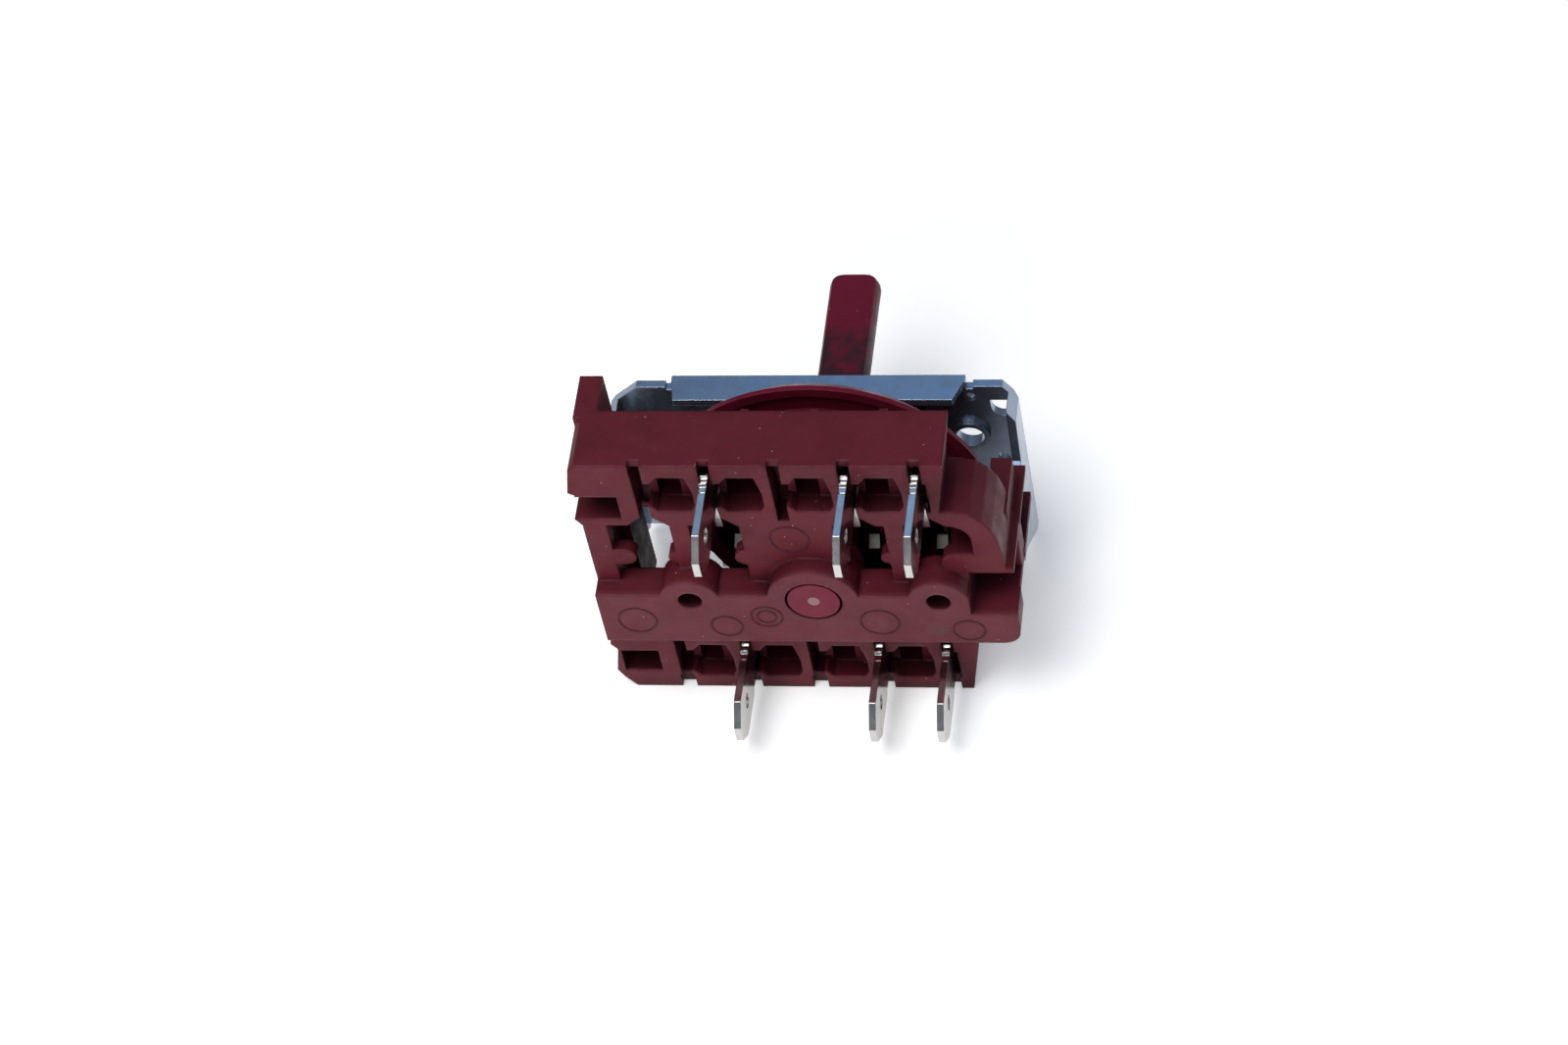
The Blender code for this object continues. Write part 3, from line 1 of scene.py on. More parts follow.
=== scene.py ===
"""Dresses the rotary cam selector switch: camera, light, floor and a procedural finish for every piece.

All lengths are in metres in the part's frame: X along the terminal rows, Y along the spindle, Z up.
"""

import logging
import math
from collections.abc import Callable, Mapping, Sequence
from dataclasses import dataclass, field
from enum import Enum

import bmesh
import bpy
from mathutils import Matrix, Vector


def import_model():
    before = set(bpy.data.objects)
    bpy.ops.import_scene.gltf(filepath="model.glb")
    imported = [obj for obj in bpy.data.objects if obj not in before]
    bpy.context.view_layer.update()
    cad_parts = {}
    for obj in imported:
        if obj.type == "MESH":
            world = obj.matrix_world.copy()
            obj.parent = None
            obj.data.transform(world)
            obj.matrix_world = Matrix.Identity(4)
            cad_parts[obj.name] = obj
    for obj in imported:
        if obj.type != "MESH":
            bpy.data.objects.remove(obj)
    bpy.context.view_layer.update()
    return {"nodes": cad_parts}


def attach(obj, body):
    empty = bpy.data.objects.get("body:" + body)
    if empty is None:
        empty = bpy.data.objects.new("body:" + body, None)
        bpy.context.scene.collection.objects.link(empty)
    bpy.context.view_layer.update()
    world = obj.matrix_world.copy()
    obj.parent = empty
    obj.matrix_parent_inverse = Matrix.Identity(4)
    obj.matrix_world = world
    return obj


Tree = bpy.types.NodeTree
Socket = bpy.types.NodeSocket
Nodes = Mapping[str, bpy.types.Object]
Point = tuple[float, float, float]

LOG = logging.getLogger("cam_switch")

MM = 0.001

# The base's two rear faces that carry round marks: its raised rail and the deck in front of the rail.
RAIL_FACE_Y = -25.0 * MM
DECK_FACE_Y = RAIL_FACE_Y + 2.2 * MM

# Points of one mark that are closer than this are the same point.
MERGE_DISTANCE = 0.001 * MM

# How much each finer octave of a pattern adds to the one before it.
OCTAVE_SHARE = 0.6

# A Map Range node that fades softly, and a Math node that multiplies.
FADE = {"interpolation_type": "SMOOTHSTEP"}
PRODUCT = {"operation": "MULTIPLY"}

# The colour sockets of a Mix node go by number, because its other data types use the same names.
MIX_SHARE, MIX_UNDER, MIX_OVER, MIX_RESULT = 0, 6, 7, 2


class Spread(Enum):
    """How a metal's rolling marks run, as the stretch of their pattern along X, Y and Z."""

    EVEN = (1, 1, 1)
    ALONG_X = (0.06, 1, 1)
    ALONG_Z = (1, 1, 0.06)


def linear(hex_colour: str) -> tuple[float, float, float, float]:
    """Turns an sRGB hex colour to linear light.

    Args:
        hex_colour: Six hex digits with a leading hash.

    Returns:
        Red, green, blue and an alpha of one.
    """
    channels = []
    for start in (1, 3, 5):
        value = int(hex_colour[start : start + 2], 16) / 255
        channels.append(value / 12.92 if value <= 0.04045 else ((value + 0.055) / 1.055) ** 2.4)
    return (*channels, 1.0)


def per_mm(size_mm: float) -> float:
    """Returns the texture scale at which a pattern repeats about every size_mm millimetres."""
    return 1.0 / (size_mm * MM)


def add_node(
    tree: Tree,
    kind: str,
    settings: Mapping[str, object] | None = None,
    inputs: Mapping[str | int, object] | None = None,
) -> bpy.types.Node:
    """Adds a shader node with its settings and inputs.

    Args:
        tree: The node tree that takes the node.
        kind: Blender's name for the node type.
        settings: Attributes of the node itself.
        inputs: What each input takes, by name or number: the socket that feeds it, a hex colour or a value.

    Returns:
        The new node.
    """
    node = tree.nodes.new(kind)
    for name, setting in (settings or {}).items():
        setattr(node, name, setting)
    for key, source in (inputs or {}).items():
        if isinstance(source, Socket):
            tree.links.new(source, node.inputs[key])
        else:
            node.inputs[key].default_value = linear(source) if isinstance(source, str) else source
    return node


@dataclass(frozen=True)
class Blotches:
    """Soft patches about size_mm across, which fade in as the pattern's value goes from low to high."""

    size_mm: float
    detail: float
    low: float
    high: float


@dataclass(frozen=True)
class Relief:
    """The fine marks in a surface, and how far its edges are rounded in shading."""

    marks_mm: float
    strength: float
    depth_mm: float
    rounding_mm: float
    samples: int
    detail: float = 4.0


@dataclass(frozen=True)
class Smudge:
    """A small ragged patch of grime round a point of the surface."""

    middle: Point
    radius: float


@dataclass(frozen=True)
class Finish:
    """The colour and sheen of a surface, and the layers that every finish is made of."""

    name: str
    colour: str
    roughness: float

    def start(self) -> tuple[bpy.types.Material, Tree, bpy.types.Node, Socket]:
        """Makes the material.

        Returns:
            The material, its tree, its shader and its object coordinates.
        """
        made = bpy.data.materials.new(self.name)
        made.use_nodes = True
        tree = made.node_tree
        shader = tree.nodes["Principled BSDF"]
        shader.inputs["Base Color"].default_value = linear(self.colour)
        shader.inputs["Roughness"].default_value = self.roughness
        place = add_node(tree, "ShaderNodeTexCoord").outputs["Object"]
        return made, tree, shader, place

    def patches(
        self, tree: Tree, place: Socket, blotches: Blotches, between: float = 0.0, inside: float = 1.0
    ) -> Socket:
        """Spreads soft patches over the surface.

        Args:
            tree: The finish's node tree.
            place: The coordinates that the patches lie in.
            blotches: Their size, detail and levels.
            between: The value between the patches.
            inside: The value inside them.

        Returns:
            The socket that holds the value.
        """
        noise = add_node(
            tree, "ShaderNodeTexNoise", None,
            {
                "Vector": place,
                "Scale": per_mm(blotches.size_mm),
                "Detail": blotches.detail,
                "Roughness": OCTAVE_SHARE,
            },
        )
        faded = add_node(
            tree, "ShaderNodeMapRange", FADE,
            {
                "Value": noise.outputs["Fac"],
                "From Min": blotches.low,
                "From Max": blotches.high,
                "To Min": between,
                "To Max": inside,
            },
        )
        return faded.outputs["Result"]

    def coat(self, tree: Tree, under: Socket | str, over: str, share: float, *masks: Socket) -> Socket:
        """Lays one colour over another.

        Args:
            tree: The finish's node tree.
            under: The colour so far.
            over: The colour that is laid on.
            share: How much of it shows where every mask is one.
            masks: Where it shows, each from zero to one.

        Returns:
            The socket that holds the mixed colour.
        """
        amount = masks[0]
        for factor in (*masks[1:], share):
            amount = add_node(tree, "ShaderNodeMath", PRODUCT, {0: amount, 1: factor}).outputs[0]
        mixed = add_node(
            tree, "ShaderNodeMix", {"data_type": "RGBA"},
            {MIX_SHARE: amount, MIX_UNDER: under, MIX_OVER: over},
        )
        return mixed.outputs[MIX_RESULT]

    def emboss(self, tree: Tree, shader: bpy.types.Node, place: Socket, relief: Relief) -> None:
        """Rounds the edges in shading and puts the fine marks in the surface.

        Args:
            tree: The finish's node tree.
            shader: The shader that takes the result.
            place: The coordinates that the marks lie in.
            relief: The marks and the rounding.
        """
        rounded = add_node(
            tree, "ShaderNodeBevel", {"samples": relief.samples}, {"Radius": relief.rounding_mm * MM}
        )
        marks = add_node(
            tree, "ShaderNodeTexNoise", None,
            {
                "Vector": place,
                "Scale": per_mm(relief.marks_mm),
                "Detail": relief.detail,
                "Roughness": OCTAVE_SHARE,
            },
        )
        raised = add_node(
            tree, "ShaderNodeBump", None,
            {
                "Strength": relief.strength,
                "Distance": relief.depth_mm * MM,
                "Height": marks.outputs["Fac"],
                "Normal": rounded.outputs[0],
            },
        )
        tree.links.new(raised.outputs[0], shader.inputs["Normal"])


@dataclass(frozen=True)
class MouldedFinish(Finish):
    """A moulded plastic: mottled, finely grained and pale at chipped edges, with dust, grime, grease and
    painted shade in its deep cells.
    """

    dark: str = "#3A1720"
    pale: str = "#8A5A62"
    specular: float = 0.14
    mottle: Blotches = Blotches(6.0, 4.0, 0.35, 0.7)
    mottle_share: float = 0.45
    bloom: Blotches = Blotches(1.4, 6.0, 0.55, 0.8)
    bloom_share: float = 0.08

    # The rearmost faces, behind a given Y, are paler.
    pale_rear_y: float | None = None
    pale_rear_fade: float = 0.4 * MM
    pale_rear_share: float = 0.13

    # Painted shade in deep cells and corners, where little light comes: the colour darkens towards recess by
    # how closed in the surface lies.
    recess: str = "#1E090D"
    recess_shade_share: float = 0.0
    recess_shade_reach: float = 6.0 * MM
    recess_shade_open: float = 0.74
    recess_shade_deep: float = 0.3
    recess_shade_samples: int = 8

    # Edges: worn where the rounded normal leaves the flat one, as the cosine between them shows.
    edge_reach: float = 0.22 * MM
    edge_flat: float = 0.995
    edge_sharp: float = 0.8
    edge_samples: int = 4
    edge_wear: Blotches = Blotches(1.3, 5.0, 0.42, 0.62)
    edge_share: float = 0.35

    # Dust: one dot in each cell of the pattern, but only inside its patches.
    speck: str = "#D9CFCB"
    speck_spacing_mm: float = 0.9
    speck_rim: float = 0.11
    speck_core: float = 0.06
    speck_patches: Blotches = Blotches(2.3, 2.0, 0.56, 0.6)
    speck_share: float = 0.4

    # Grease: smears on the stretch of Y between the two ends of grease_y.
    grease: str = "#211A1E"
    grease_y: tuple[float, float] | None = None
    grease_fade: float = 1.0 * MM
    grease_trail: float = 3.0 * MM
    grease_smear: Blotches = Blotches(3.6, 4.0, 0.3, 0.56)
    grease_share: float = 0.8

    grime: str = "#3E3833"
    smudges: tuple[Smudge, ...] = ()
    smudge_core: float = 0.4
    smudge_rags: Blotches = Blotches(0.8, 3.0, 0.42, 0.58)
    smudge_share: float = 0.55

    # The real grain is finer than a pixel, so it is drawn coarse enough to show.
    relief: Relief = Relief(marks_mm=0.3, strength=0.1, depth_mm=0.05, rounding_mm=0.16, samples=8)

    gloss: Blotches = Blotches(2.2, 3.0, 0.3, 0.7)
    gloss_smoother: float = 0.07
    gloss_rougher: float = 0.1

    def build(self) -> bpy.types.Material:
        """Returns the material."""
        made, tree, shader, place = self.start()
        shader.inputs["Specular IOR Level"].default_value = self.specular
        mottle = self.patches(tree, place, self.mottle)
        colour = self.coat(tree, self.colour, self.dark, self.mottle_share, mottle)
        colour = self.coat(tree, colour, self.pale, self.bloom_share, self.patches(tree, place, self.bloom))
        along = add_node(tree, "ShaderNodeSeparateXYZ", None, {0: place}).outputs["Y"]
        colour = self.paler_rear(tree, colour, along)
        # Painted shade: darker in deep cells and corners.
        colour = self.paint_recess_shade(tree, colour)
        colour = self.chip(tree, colour, place)
        colour = self.dust(tree, colour, place)
        colour = self.smear(tree, colour, place, along)
        for smudge in self.smudges:
            colour = self.dirty(tree, colour, place, smudge)
        tree.links.new(colour, shader.inputs["Base Color"])
        smoothest, roughest = self.roughness - self.gloss_smoother, self.roughness + self.gloss_rougher
        gloss = self.patches(tree, place, self.gloss, smoothest, roughest)
        tree.links.new(gloss, shader.inputs["Roughness"])
        self.emboss(tree, shader, place, self.relief)
        return made

    def paler_rear(self, tree: Tree, colour: Socket, along: Socket) -> Socket:
        """Returns the colour, paler on its rearmost faces."""
        if self.pale_rear_y is None:
            return colour
        rearmost = add_node(
            tree, "ShaderNodeMapRange", FADE,
            {"Value": along, "From Min": self.pale_rear_y, "From Max": self.pale_rear_y - self.pale_rear_fade},
        )
        return self.coat(tree, colour, self.pale, self.pale_rear_share, rearmost.outputs["Result"])

    def paint_recess_shade(self, tree: Tree, colour: Socket) -> Socket:
        """Returns the colour with painted shade in its deep cells and corners."""
        if self.recess_shade_share == 0:
            return colour
        near = add_node(
            tree, "ShaderNodeAmbientOcclusion", {"samples": self.recess_shade_samples},
            {"Distance": self.recess_shade_reach},
        )
        deep = add_node(
            tree, "ShaderNodeMapRange", FADE,
            {"Value": near.outputs["AO"], "From Min": self.recess_shade_open, "From Max": self.recess_shade_deep},
        )
        return self.coat(tree, colour, self.recess, self.recess_shade_share, deep.outputs["Result"])

    def chip(self, tree: Tree, colour: Socket, place: Socket) -> Socket:
        """Returns the colour with its worn edges."""
        rounded = add_node(
            tree, "ShaderNodeBevel", {"samples": self.edge_samples}, {"Radius": self.edge_reach}
        )
        flat = add_node(tree, "ShaderNodeNewGeometry")
        bend = add_node(
            tree, "ShaderNodeVectorMath", {"operation": "DOT_PRODUCT"},
            {0: rounded.outputs[0], 1: flat.outputs["Normal"]},
        )
        edge = add_node(
            tree, "ShaderNodeMapRange", FADE,
            {"Value": bend.outputs["Value"], "From Min": self.edge_flat, "From Max": self.edge_sharp},
        )
        worn = self.patches(tree, place, self.edge_wear)
        return self.coat(tree, colour, self.pale, self.edge_share, edge.outputs["Result"], worn)

    def dust(self, tree: Tree, colour: Socket, place: Socket) -> Socket:
        """Returns the colour with its sparse pale specks."""
        cells = add_node(
            tree, "ShaderNodeTexVoronoi", None,
            {"Vector": place, "Scale": per_mm(self.speck_spacing_mm), "Randomness": 1.0},
        )
        dots = add_node(
            tree, "ShaderNodeMapRange", FADE,
            {"Value": cells.outputs["Distance"], "From Min": self.speck_rim, "From Max": self.speck_core},
        )
        chosen = self.patches(tree, place, self.speck_patches)
        return self.coat(tree, colour, self.speck, self.speck_share, dots.outputs["Result"], chosen)

    def smear(self, tree: Tree, colour: Socket, place: Socket, along: Socket) -> Socket:
        """Returns the colour with the grease on its stretch of Y."""
        if self.grease_y is None:
            return colour
        start, end = self.grease_y
        rise = add_node(
            tree, "ShaderNodeMapRange", FADE,
            {"Value": along, "From Min": start - self.grease_fade, "From Max": start + self.grease_fade},
        )
        fall = add_node(
            tree, "ShaderNodeMapRange", FADE,
            {"Value": along, "From Min": end + self.grease_fade, "From Max": end - self.grease_trail},
        )
        smears = self.patches(tree, place, self.grease_smear)
        masks = rise.outputs["Result"], fall.outputs["Result"], smears
        return self.coat(tree, colour, self.grease, self.grease_share, *masks)

    def dirty(self, tree: Tree, colour: Socket, place: Socket, smudge: Smudge) -> Socket:
        """Returns the colour with one smudge of grime."""
        away = add_node(tree, "ShaderNodeVectorMath", {"operation": "DISTANCE"}, {0: place, 1: smudge.middle})
        near = add_node(
            tree, "ShaderNodeMapRange", FADE,
            {
                "Value": away.outputs["Value"],
                "From Min": smudge.radius,
                "From Max": smudge.radius * self.smudge_core,
            },
        )
        ragged = self.patches(tree, place, self.smudge_rags)
        return self.coat(tree, colour, self.grime, self.smudge_share, near.outputs["Result"], ragged)


@dataclass(frozen=True)
class MetalFinish(Finish):
    """A plated or rolled metal with fine rolling marks, dull patches and a few dark spots."""

    metallic: float = 1.0
    dull: str = "#8E9296"
    dulling: Blotches = Blotches(4.0, 5.0, 0.42, 0.72)
    dull_share: float = 0.5
    spot: str = "#4A4540"
    spotting: Blotches = Blotches(0.7, 3.0, 0.68, 0.76)
    spot_share: float = 0.2
    spread: Spread = Spread.EVEN

    # Real rolling marks are finer than a pixel, so they are drawn coarse enough to show.
    relief: Relief = Relief(marks_mm=0.2, strength=0.04, depth_mm=0.03, rounding_mm=0.12, samples=6)

    gloss: Blotches = Blotches(2.4, 3.0, 0.3, 0.75)
    gloss_rougher: float = 0.1

    def build(self) -> bpy.types.Material:
        """Returns the material."""
        made, tree, shader, place = self.start()
        shader.inputs["Metallic"].default_value = self.metallic
        dulled = self.patches(tree, place, self.dulling)
        colour = self.coat(tree, self.colour, self.dull, self.dull_share, dulled)
        colour = self.coat(tree, colour, self.spot, self.spot_share, self.patches(tree, place, self.spotting))
        tree.links.new(colour, shader.inputs["Base Color"])
        gloss = self.patches(tree, place, self.gloss, self.roughness, self.roughness + self.gloss_rougher)
        tree.links.new(gloss, shader.inputs["Roughness"])
        rolled = add_node(
            tree, "ShaderNodeMapping", {"vector_type": "POINT"}, {"Vector": place, "Scale": self.spread.value}
        )
        self.emboss(tree, shader, rolled.outputs[0], self.relief)
        return made


@dataclass(frozen=True)
class Palette:
    """Every finish of the switch."""

    # Pressed phenolic: a dull maroon that mottles where its filler shows, with painted shade that makes it
    # almost black deep in the cells.
    base: MouldedFinish = MouldedFinish(
        "moulded_phenolic", "#591C26", 0.46, dark="#43141C", pale="#7E5058",
        pale_rear_y=-24.2 * MM, recess_shade_share=0.85,
        relief=Relief(marks_mm=0.3, strength=0.1, depth_mm=0.05, rounding_mm=0.5, samples=8),
        smudges=(
            Smudge((13.45 * MM, -25.0 * MM, -5.2 * MM), 1.5 * MM),
            Smudge((8.2 * MM, -24.5 * MM, -12.0 * MM), 2.6 * MM),
            Smudge((15.6 * MM, -24.5 * MM, -13.2 * MM), 2.2 * MM),
            Smudge((-20.0 * MM, -25.0 * MM, 13.6 * MM), 1.6 * MM),
        ),
    )

    # The same phenolic where the mould was engraved: a thin line, darker than the rest of the base.
    mark: MouldedFinish = MouldedFinish("engraved_phenolic", "#43181E", 0.5, pale="#6B4046", speck_share=0.0)

    # Injected polyamide: a clearer, smoother crimson, with assembly grease on the spindle.
    rotor: MouldedFinish = MouldedFinish(
        "moulded_polyamide", "#641329", 0.4, dark="#4A0F22", pale="#A04258", speck_share=0.3,
        pale_rear_y=-24.7 * MM, pale_rear_share=0.1, grease_y=(1.5 * MM, 14.0 * MM),
    )

    # The torn end of the sprue: pale and dry.
    gate: MouldedFinish = MouldedFinish("broken_gate_plastic", "#8D6E6C", 0.6, dark="#6F4A4A", pale="#A89290")

    # Rolled steel under bright zinc: a blue-grey half mirror with fine lines along the sheet.
    zinc: MetalFinish = MetalFinish(
        "zinc_plated_steel", "#929FAF", 0.2, metallic=0.88, dull="#7C8897", spread=Spread.ALONG_X
    )

    # Stamped brass under tin: near white, with sharp glints and lines along the strip that it came from.
    tab: MetalFinish = MetalFinish(
        "tin_plated_brass", "#CBCAC6", 0.13, dull="#AFAEA8", spread=Spread.ALONG_Z, spot_share=0.12
    )

    # Rolled bronze: a dark grey-brown strip, half bright.
    strip: MetalFinish = MetalFinish("rolled_bronze_strip", "#73716A", 0.28, dull="#55534E")

    # Pressed and polished silver: small, white and clean.
    silver: MetalFinish = MetalFinish("polished_silver", "#DCDCD8", 0.22, dull="#A8A6A0")

    # Headed brass: a soft yellow.
    rivet: MetalFinish = MetalFinish("headed_brass", "#C3A563", 0.28, dull="#94793F")

    # Rolled spring steel: a cool grey with a satin sheen.
    steel: MetalFinish = MetalFinish("rolled_spring_steel", "#8D9094", 0.22, dull="#66686B")


def dress(nodes: Nodes, names: Sequence[str], made: bpy.types.Material) -> None:
    """Puts one material on every slot of the named CAD nodes.

    Args:
        nodes: The CAD nodes by name.
        names: The nodes that take the material.
        made: The material.
    """
    for name in names:
        for slot in nodes[name].material_slots:
            slot.material = made
        LOG.info("%s takes %s", name, made.name)


def mesh_piece(
    name: str, made: bpy.types.Material, build: Callable[[bmesh.types.BMesh], None]
) -> bpy.types.Object:
    """Builds a mesh with bmesh operators and links it to the scene.

    Args:
        name: The new piece's name.
        made: Its material.
        build: Fills the bmesh.

    Returns:
        The new object.
    """
    shape = bmesh.new()
    build(shape)
    bmesh.ops.recalc_face_normals(shape, faces=shape.faces)
    mesh = bpy.data.meshes.new(name)
    shape.to_mesh(mesh)
    shape.free()
    mesh.materials.append(made)
    piece = bpy.data.objects.new(name, mesh)
    bpy.context.scene.collection.objects.link(piece)
    return piece


@dataclass(frozen=True)
class RingMark:
    """A faint round moulding mark on a rear face of the base."""

    x: float
    z: float
    radius: float
    face_y: float = RAIL_FACE_Y


@dataclass
class ContactBase:
    """The maroon contact base and its plain round moulding marks."""

    names: tuple[str, ...] = ("contact_base",)
    marks: tuple[RingMark, ...] = (
        RingMark(-20.6 * MM, -3.7 * MM, 2.3 * MM),
        RingMark(-10.5 * MM, -4.7 * MM, 1.9 * MM),
        RingMark(-5.7 * MM, -2.9 * MM, 1.9 * MM),
        RingMark(-5.7 * MM, -2.9 * MM, 1.2 * MM),
        RingMark(7.0 * MM, -3.8 * MM, 2.3 * MM),
        RingMark(16.9 * MM, -5.2 * MM, 1.9 * MM),
        RingMark(-1.8 * MM, 8.5 * MM, 2.3 * MM, DECK_FACE_Y),
    )
    line: float = 0.26 * MM
    stand: float = 0.06 * MM
    steps: int = 40

    def build(self, nodes: Nodes, palette: Palette) -> None:
        """Dresses the base and adds its marks.

        Args:
            nodes: The CAD nodes by name.
            palette: The finishes.
        """
        dress(nodes, self.names, palette.base.build())
        made = palette.mark.build()
        for number, mark in enumerate(self.marks, 1):
            piece = mesh_piece(f"mould_mark_{number}", made, lambda shape, mark=mark: self.ring(shape, mark))
            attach(piece, "base")
            LOG.info("%s is on the base", piece.name)

    def ring(self, shape: bmesh.types.BMesh, mark: RingMark) -> None:
        """Turns a thin square line round the mark's middle, half sunk in the base's rear face.

        Args:
            shape: The mesh that takes the ring.
            mark: Its place and radius.
        """
        inner, outer = mark.radius - self.line, mark.radius
        front, rear = mark.face_y + self.stand, mark.face_y - self.stand
        corners = ((inner, front), (outer, front), (outer, rear), (inner, rear))
        verts = [shape.verts.new((mark.x + radius, y, mark.z)) for radius, y in corners]
        edges = [shape.edges.new(ends) for ends in zip(verts, verts[1:] + verts[:1])]
        bmesh.ops.spin(
            shape, geom=verts + edges, cent=(mark.x, 0, mark.z), axis=(0, 1, 0),
            angle=2 * math.pi, steps=self.steps, use_merge=True, use_duplicate=False,
        )
        bmesh.ops.remove_doubles(shape, verts=shape.verts, dist=MERGE_DISTANCE)


@dataclass
class CamRotor:
    """The crimson rotor with its cams, detent star and spindle, and the pale gate mark on its journal."""

    names: tuple[str, ...] = ("cam_rotor",)
    gate_radius: float = 0.7 * MM
    gate_rear_y: float = RAIL_FACE_Y
    gate_front_y: float = RAIL_FACE_Y + 0.15 * MM
    gate_segments: int = 24

    def build(self, nodes: Nodes, palette: Palette) -> None:
        """Dresses the rotor and adds its gate mark.

        Args:
            nodes: The CAD nodes by name.
            palette: The finishes.
        """
        dress(nodes, self.names, palette.rotor.build())
        piece = mesh_piece("gate_mark", palette.gate.build(), self.gate)
        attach(piece, "rotor")
        LOG.info("%s is on the rotor", piece.name)

    def gate(self, shape: bmesh.types.BMesh) -> None:
        """Makes the flat disc in the journal's shallow gate recess."""
        middle = (self.gate_rear_y + self.gate_front_y) / 2
        place = Matrix.Translation((0, middle, 0)) @ Matrix.Rotation(math.radians(90), 4, "X")
        bmesh.ops.create_cone(
            shape, cap_ends=True, segments=self.gate_segments, radius1=self.gate_radius,
            radius2=self.gate_radius, depth=self.gate_front_y - self.gate_rear_y, matrix=place,
        )


@dataclass
class FoldedBracket:
    """The zinc-plated mounting bracket."""

    names: tuple[str, ...] = ("mounting_bracket",)

    def build(self, nodes: Nodes, palette: Palette) -> None:
        """Dresses the bracket.

        Args:
            nodes: The CAD nodes by name.
            palette: The finishes.
        """
        dress(nodes, self.names, palette.zinc.build())


@dataclass
class ContactSets:
    """Terminals, springs, contacts and rivets of the wired columns."""

    columns: tuple[int, ...] = (2, 4, 5)

    def build(self, nodes: Nodes, palette: Palette) -> None:
        """Dresses every metal piece of the columns.

        Args:
            nodes: The CAD nodes by name.
            palette: The finishes.
        """
        dress(nodes, self.named("upper_terminal", "lower_terminal"), palette.tab.build())
        dress(nodes, self.named("contact_spring"), palette.strip.build())
        dress(nodes, self.named("moving_contact", "fixed_contact"), palette.silver.build())
        dress(nodes, self.named("spring_rivet"), palette.rivet.build())

    def named(self, *stems: str) -> list[str]:
        """Returns the node names of these stems in every wired column."""
        return [f"{stem}_{column}" for stem in stems for column in self.columns]


@dataclass
class DetentSet:
    """The detent roller and its leaf spring."""

    names: tuple[str, ...] = ("detent_roller", "detent_spring")

    def build(self, nodes: Nodes, palette: Palette) -> None:
        """Dresses the detent.

        Args:
            nodes: The CAD nodes by name.
            palette: The finishes.
        """
        dress(nodes, self.names, palette.steel.build())


@dataclass
class PhotoCamera:
    """The camera that was solved from the photograph."""

    eye: Vector = field(default_factory=lambda: Vector((90.79, -331.88, 412.88)) * MM)
    right: Vector = field(default_factory=lambda: Vector((0.98365, 0.11208, -0.14096)))
    up: Vector = field(default_factory=lambda: Vector((-0.00275, 0.79198, 0.61054)))
    ahead: Vector = field(default_factory=lambda: Vector((-0.18006, 0.60018, -0.77934)))
    lens_mm: float = 108.0
    sensor_mm: float = 36.0
    clip_start: float = 0.01

    def build(self) -> None:
        """Sets the scene's camera."""
        data = bpy.data.cameras.new("photo_camera")
        data.lens = self.lens_mm
        data.sensor_width = self.sensor_mm
        data.sensor_fit = "HORIZONTAL"
        data.clip_start = self.clip_start
        camera = bpy.data.objects.new("photo_camera", data)
        turn = Matrix((self.right, self.up, -self.ahead)).transposed().to_4x4()
        camera.matrix_world = Matrix.Translation(self.eye) @ turn
        bpy.context.scene.collection.objects.link(camera)
        bpy.context.scene.camera = camera


@dataclass(frozen=True)
class Softbox:
    """One square area lamp that is aimed at the switch, with its side in metres and its power in watts."""

    name: str
    place: Point
    size: float
    power: float
    colour: str
    lights_surfaces: bool = True
    mirrored: bool = True


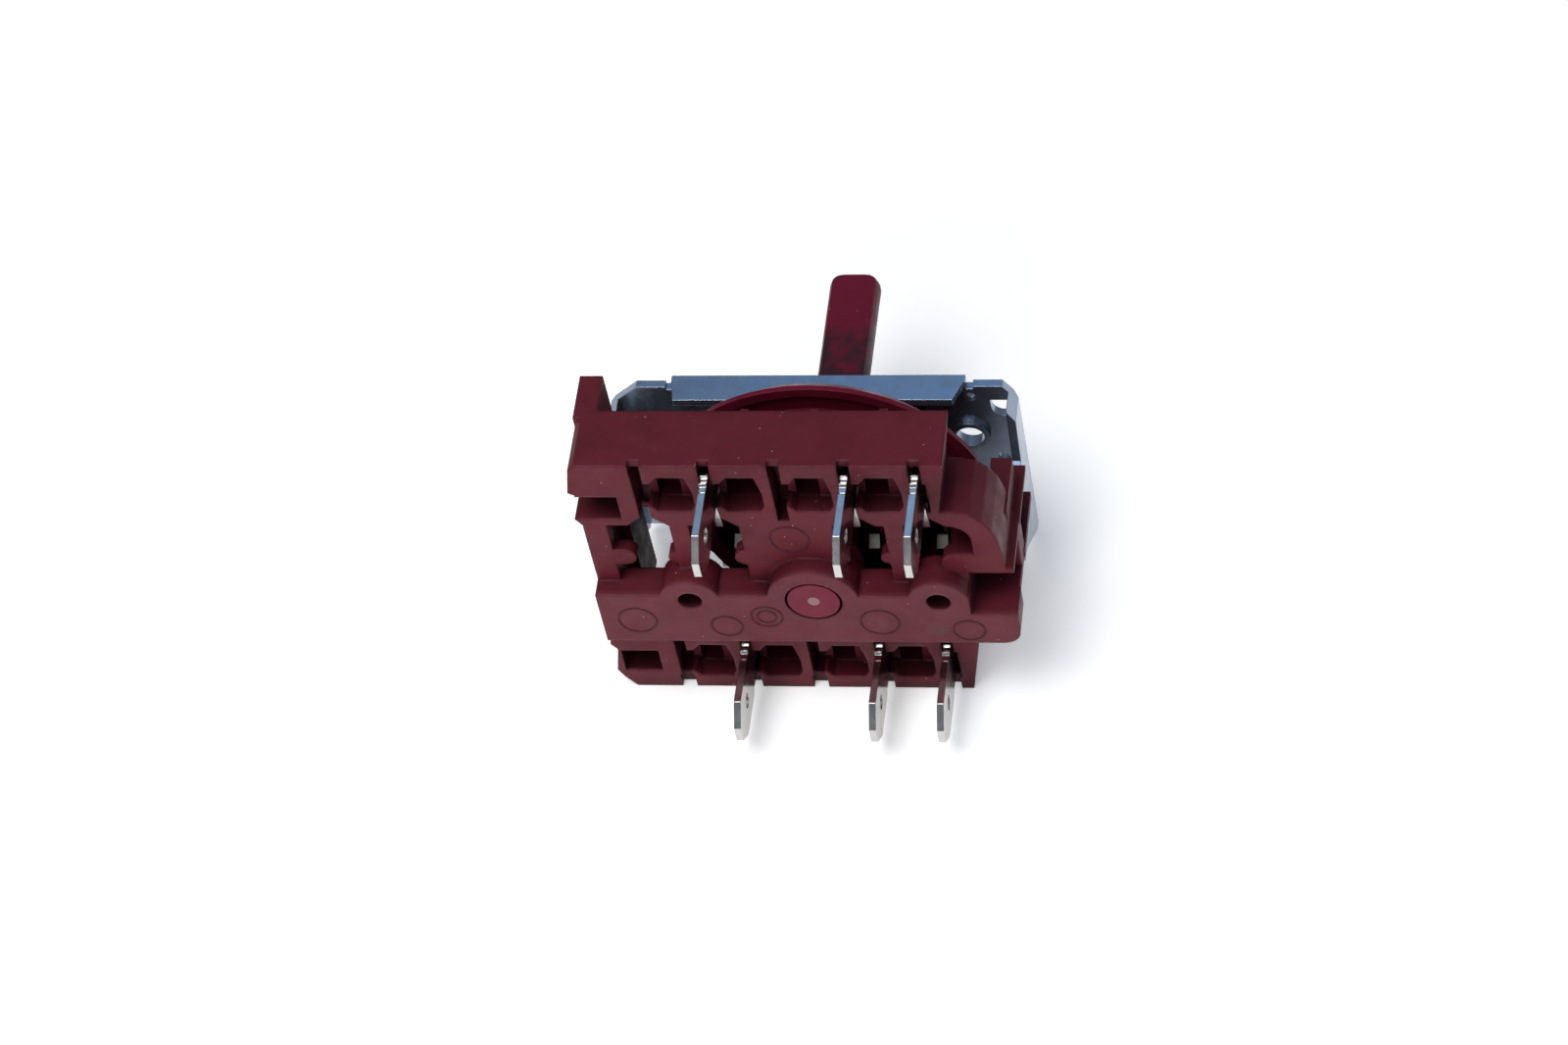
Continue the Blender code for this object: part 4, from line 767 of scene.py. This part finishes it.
@dataclass
class Studio:
    """Pale floor, plain world and soft lamps."""

    floor_z: float = -19.35 * MM
    floor_half: float = 3.0
    floor_colour: str = "#FFFFFF"
    floor_roughness: float = 0.9
    floor_lift: float = 0.22
    world_colour: str = "#E4EBF8"
    world_strength: float = 0.25
    lamps: tuple[Softbox, ...] = (
        Softbox("key", (-0.2, -0.25, 0.8), 0.5, 5.1, "#FFFFFF"),
        Softbox("sky", (-0.08, 0.66, 0.7), 0.3, 0.21, "#6DBAFF", lights_surfaces=False),
        Softbox("fill", (-0.1, -0.85, 0.3), 0.5, 3.9, "#FFFFFF", mirrored=False),
        Softbox("side", (0.75, 0.2, 0.45), 0.4, 1.2, "#D5E3FA"),
    )

    def build(self) -> None:
        """Builds floor, world and lamps."""
        self.build_floor()
        self.build_world()
        for lamp in self.lamps:
            self.build_lamp(lamp)

    def build_floor(self) -> None:
        """Lays a wide plane just under the switch, white to the camera and in metal apart from its shadow."""
        made = bpy.data.materials.new("floor")
        made.use_nodes = True
        tree = made.node_tree
        shader = tree.nodes["Principled BSDF"]
        shader.inputs["Base Color"].default_value = linear(self.floor_colour)
        shader.inputs["Roughness"].default_value = self.floor_roughness
        shader.inputs["Emission Color"].default_value = linear(self.floor_colour)
        path = add_node(tree, "ShaderNodeLightPath").outputs
        seen = path["Is Camera Ray"]
        for ray in ("Is Glossy Ray", "Is Transmission Ray"):
            seen = add_node(tree, "ShaderNodeMath", {"operation": "ADD"}, {0: seen, 1: path[ray]}).outputs[0]
        lift = add_node(tree, "ShaderNodeMath", PRODUCT, {0: seen, 1: self.floor_lift})
        tree.links.new(lift.outputs[0], shader.inputs["Emission Strength"])
        floor = mesh_piece("floor", made, self.plane)

    def plane(self, shape: bmesh.types.BMesh) -> None:
        """Makes the floor's one face."""
        place = Matrix.Translation((0, 0, self.floor_z))
        bmesh.ops.create_grid(shape, x_segments=1, y_segments=1, size=self.floor_half, matrix=place)

    def build_world(self) -> None:
        """Puts an even, slightly cool surround in place."""
        world = bpy.data.worlds.new("surround")
        world.use_nodes = True
        background = world.node_tree.nodes["Background"]
        background.inputs["Color"].default_value = linear(self.world_colour)
        background.inputs["Strength"].default_value = self.world_strength
        bpy.context.scene.world = world

    def build_lamp(self, lamp: Softbox) -> None:
        """Hangs one lamp and aims it at the middle of the switch."""
        data = bpy.data.lights.new(lamp.name, "AREA")
        data.shape = "SQUARE"
        data.size = lamp.size
        data.energy = lamp.power
        data.color = linear(lamp.colour)[:3]
        hung = bpy.data.objects.new(lamp.name, data)
        hung.visible_diffuse = lamp.lights_surfaces
        hung.visible_glossy = lamp.mirrored
        hung.location = lamp.place
        hung.rotation_euler = (-Vector(lamp.place)).to_track_quat("-Z", "Y").to_euler()
        bpy.context.scene.collection.objects.link(hung)


def main() -> None:
    """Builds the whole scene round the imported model."""
    logging.basicConfig(level=logging.INFO, format="%(message)s")
    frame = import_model()
    nodes = frame["nodes"]
    palette = Palette()
    PhotoCamera().build()
    Studio().build()
    for assembly in (ContactBase(), CamRotor(), FoldedBracket(), ContactSets(), DetentSet()):
        assembly.build(nodes, palette)
    bpy.context.scene.view_settings.view_transform = "Standard"


if __name__ == "__main__":
    main()
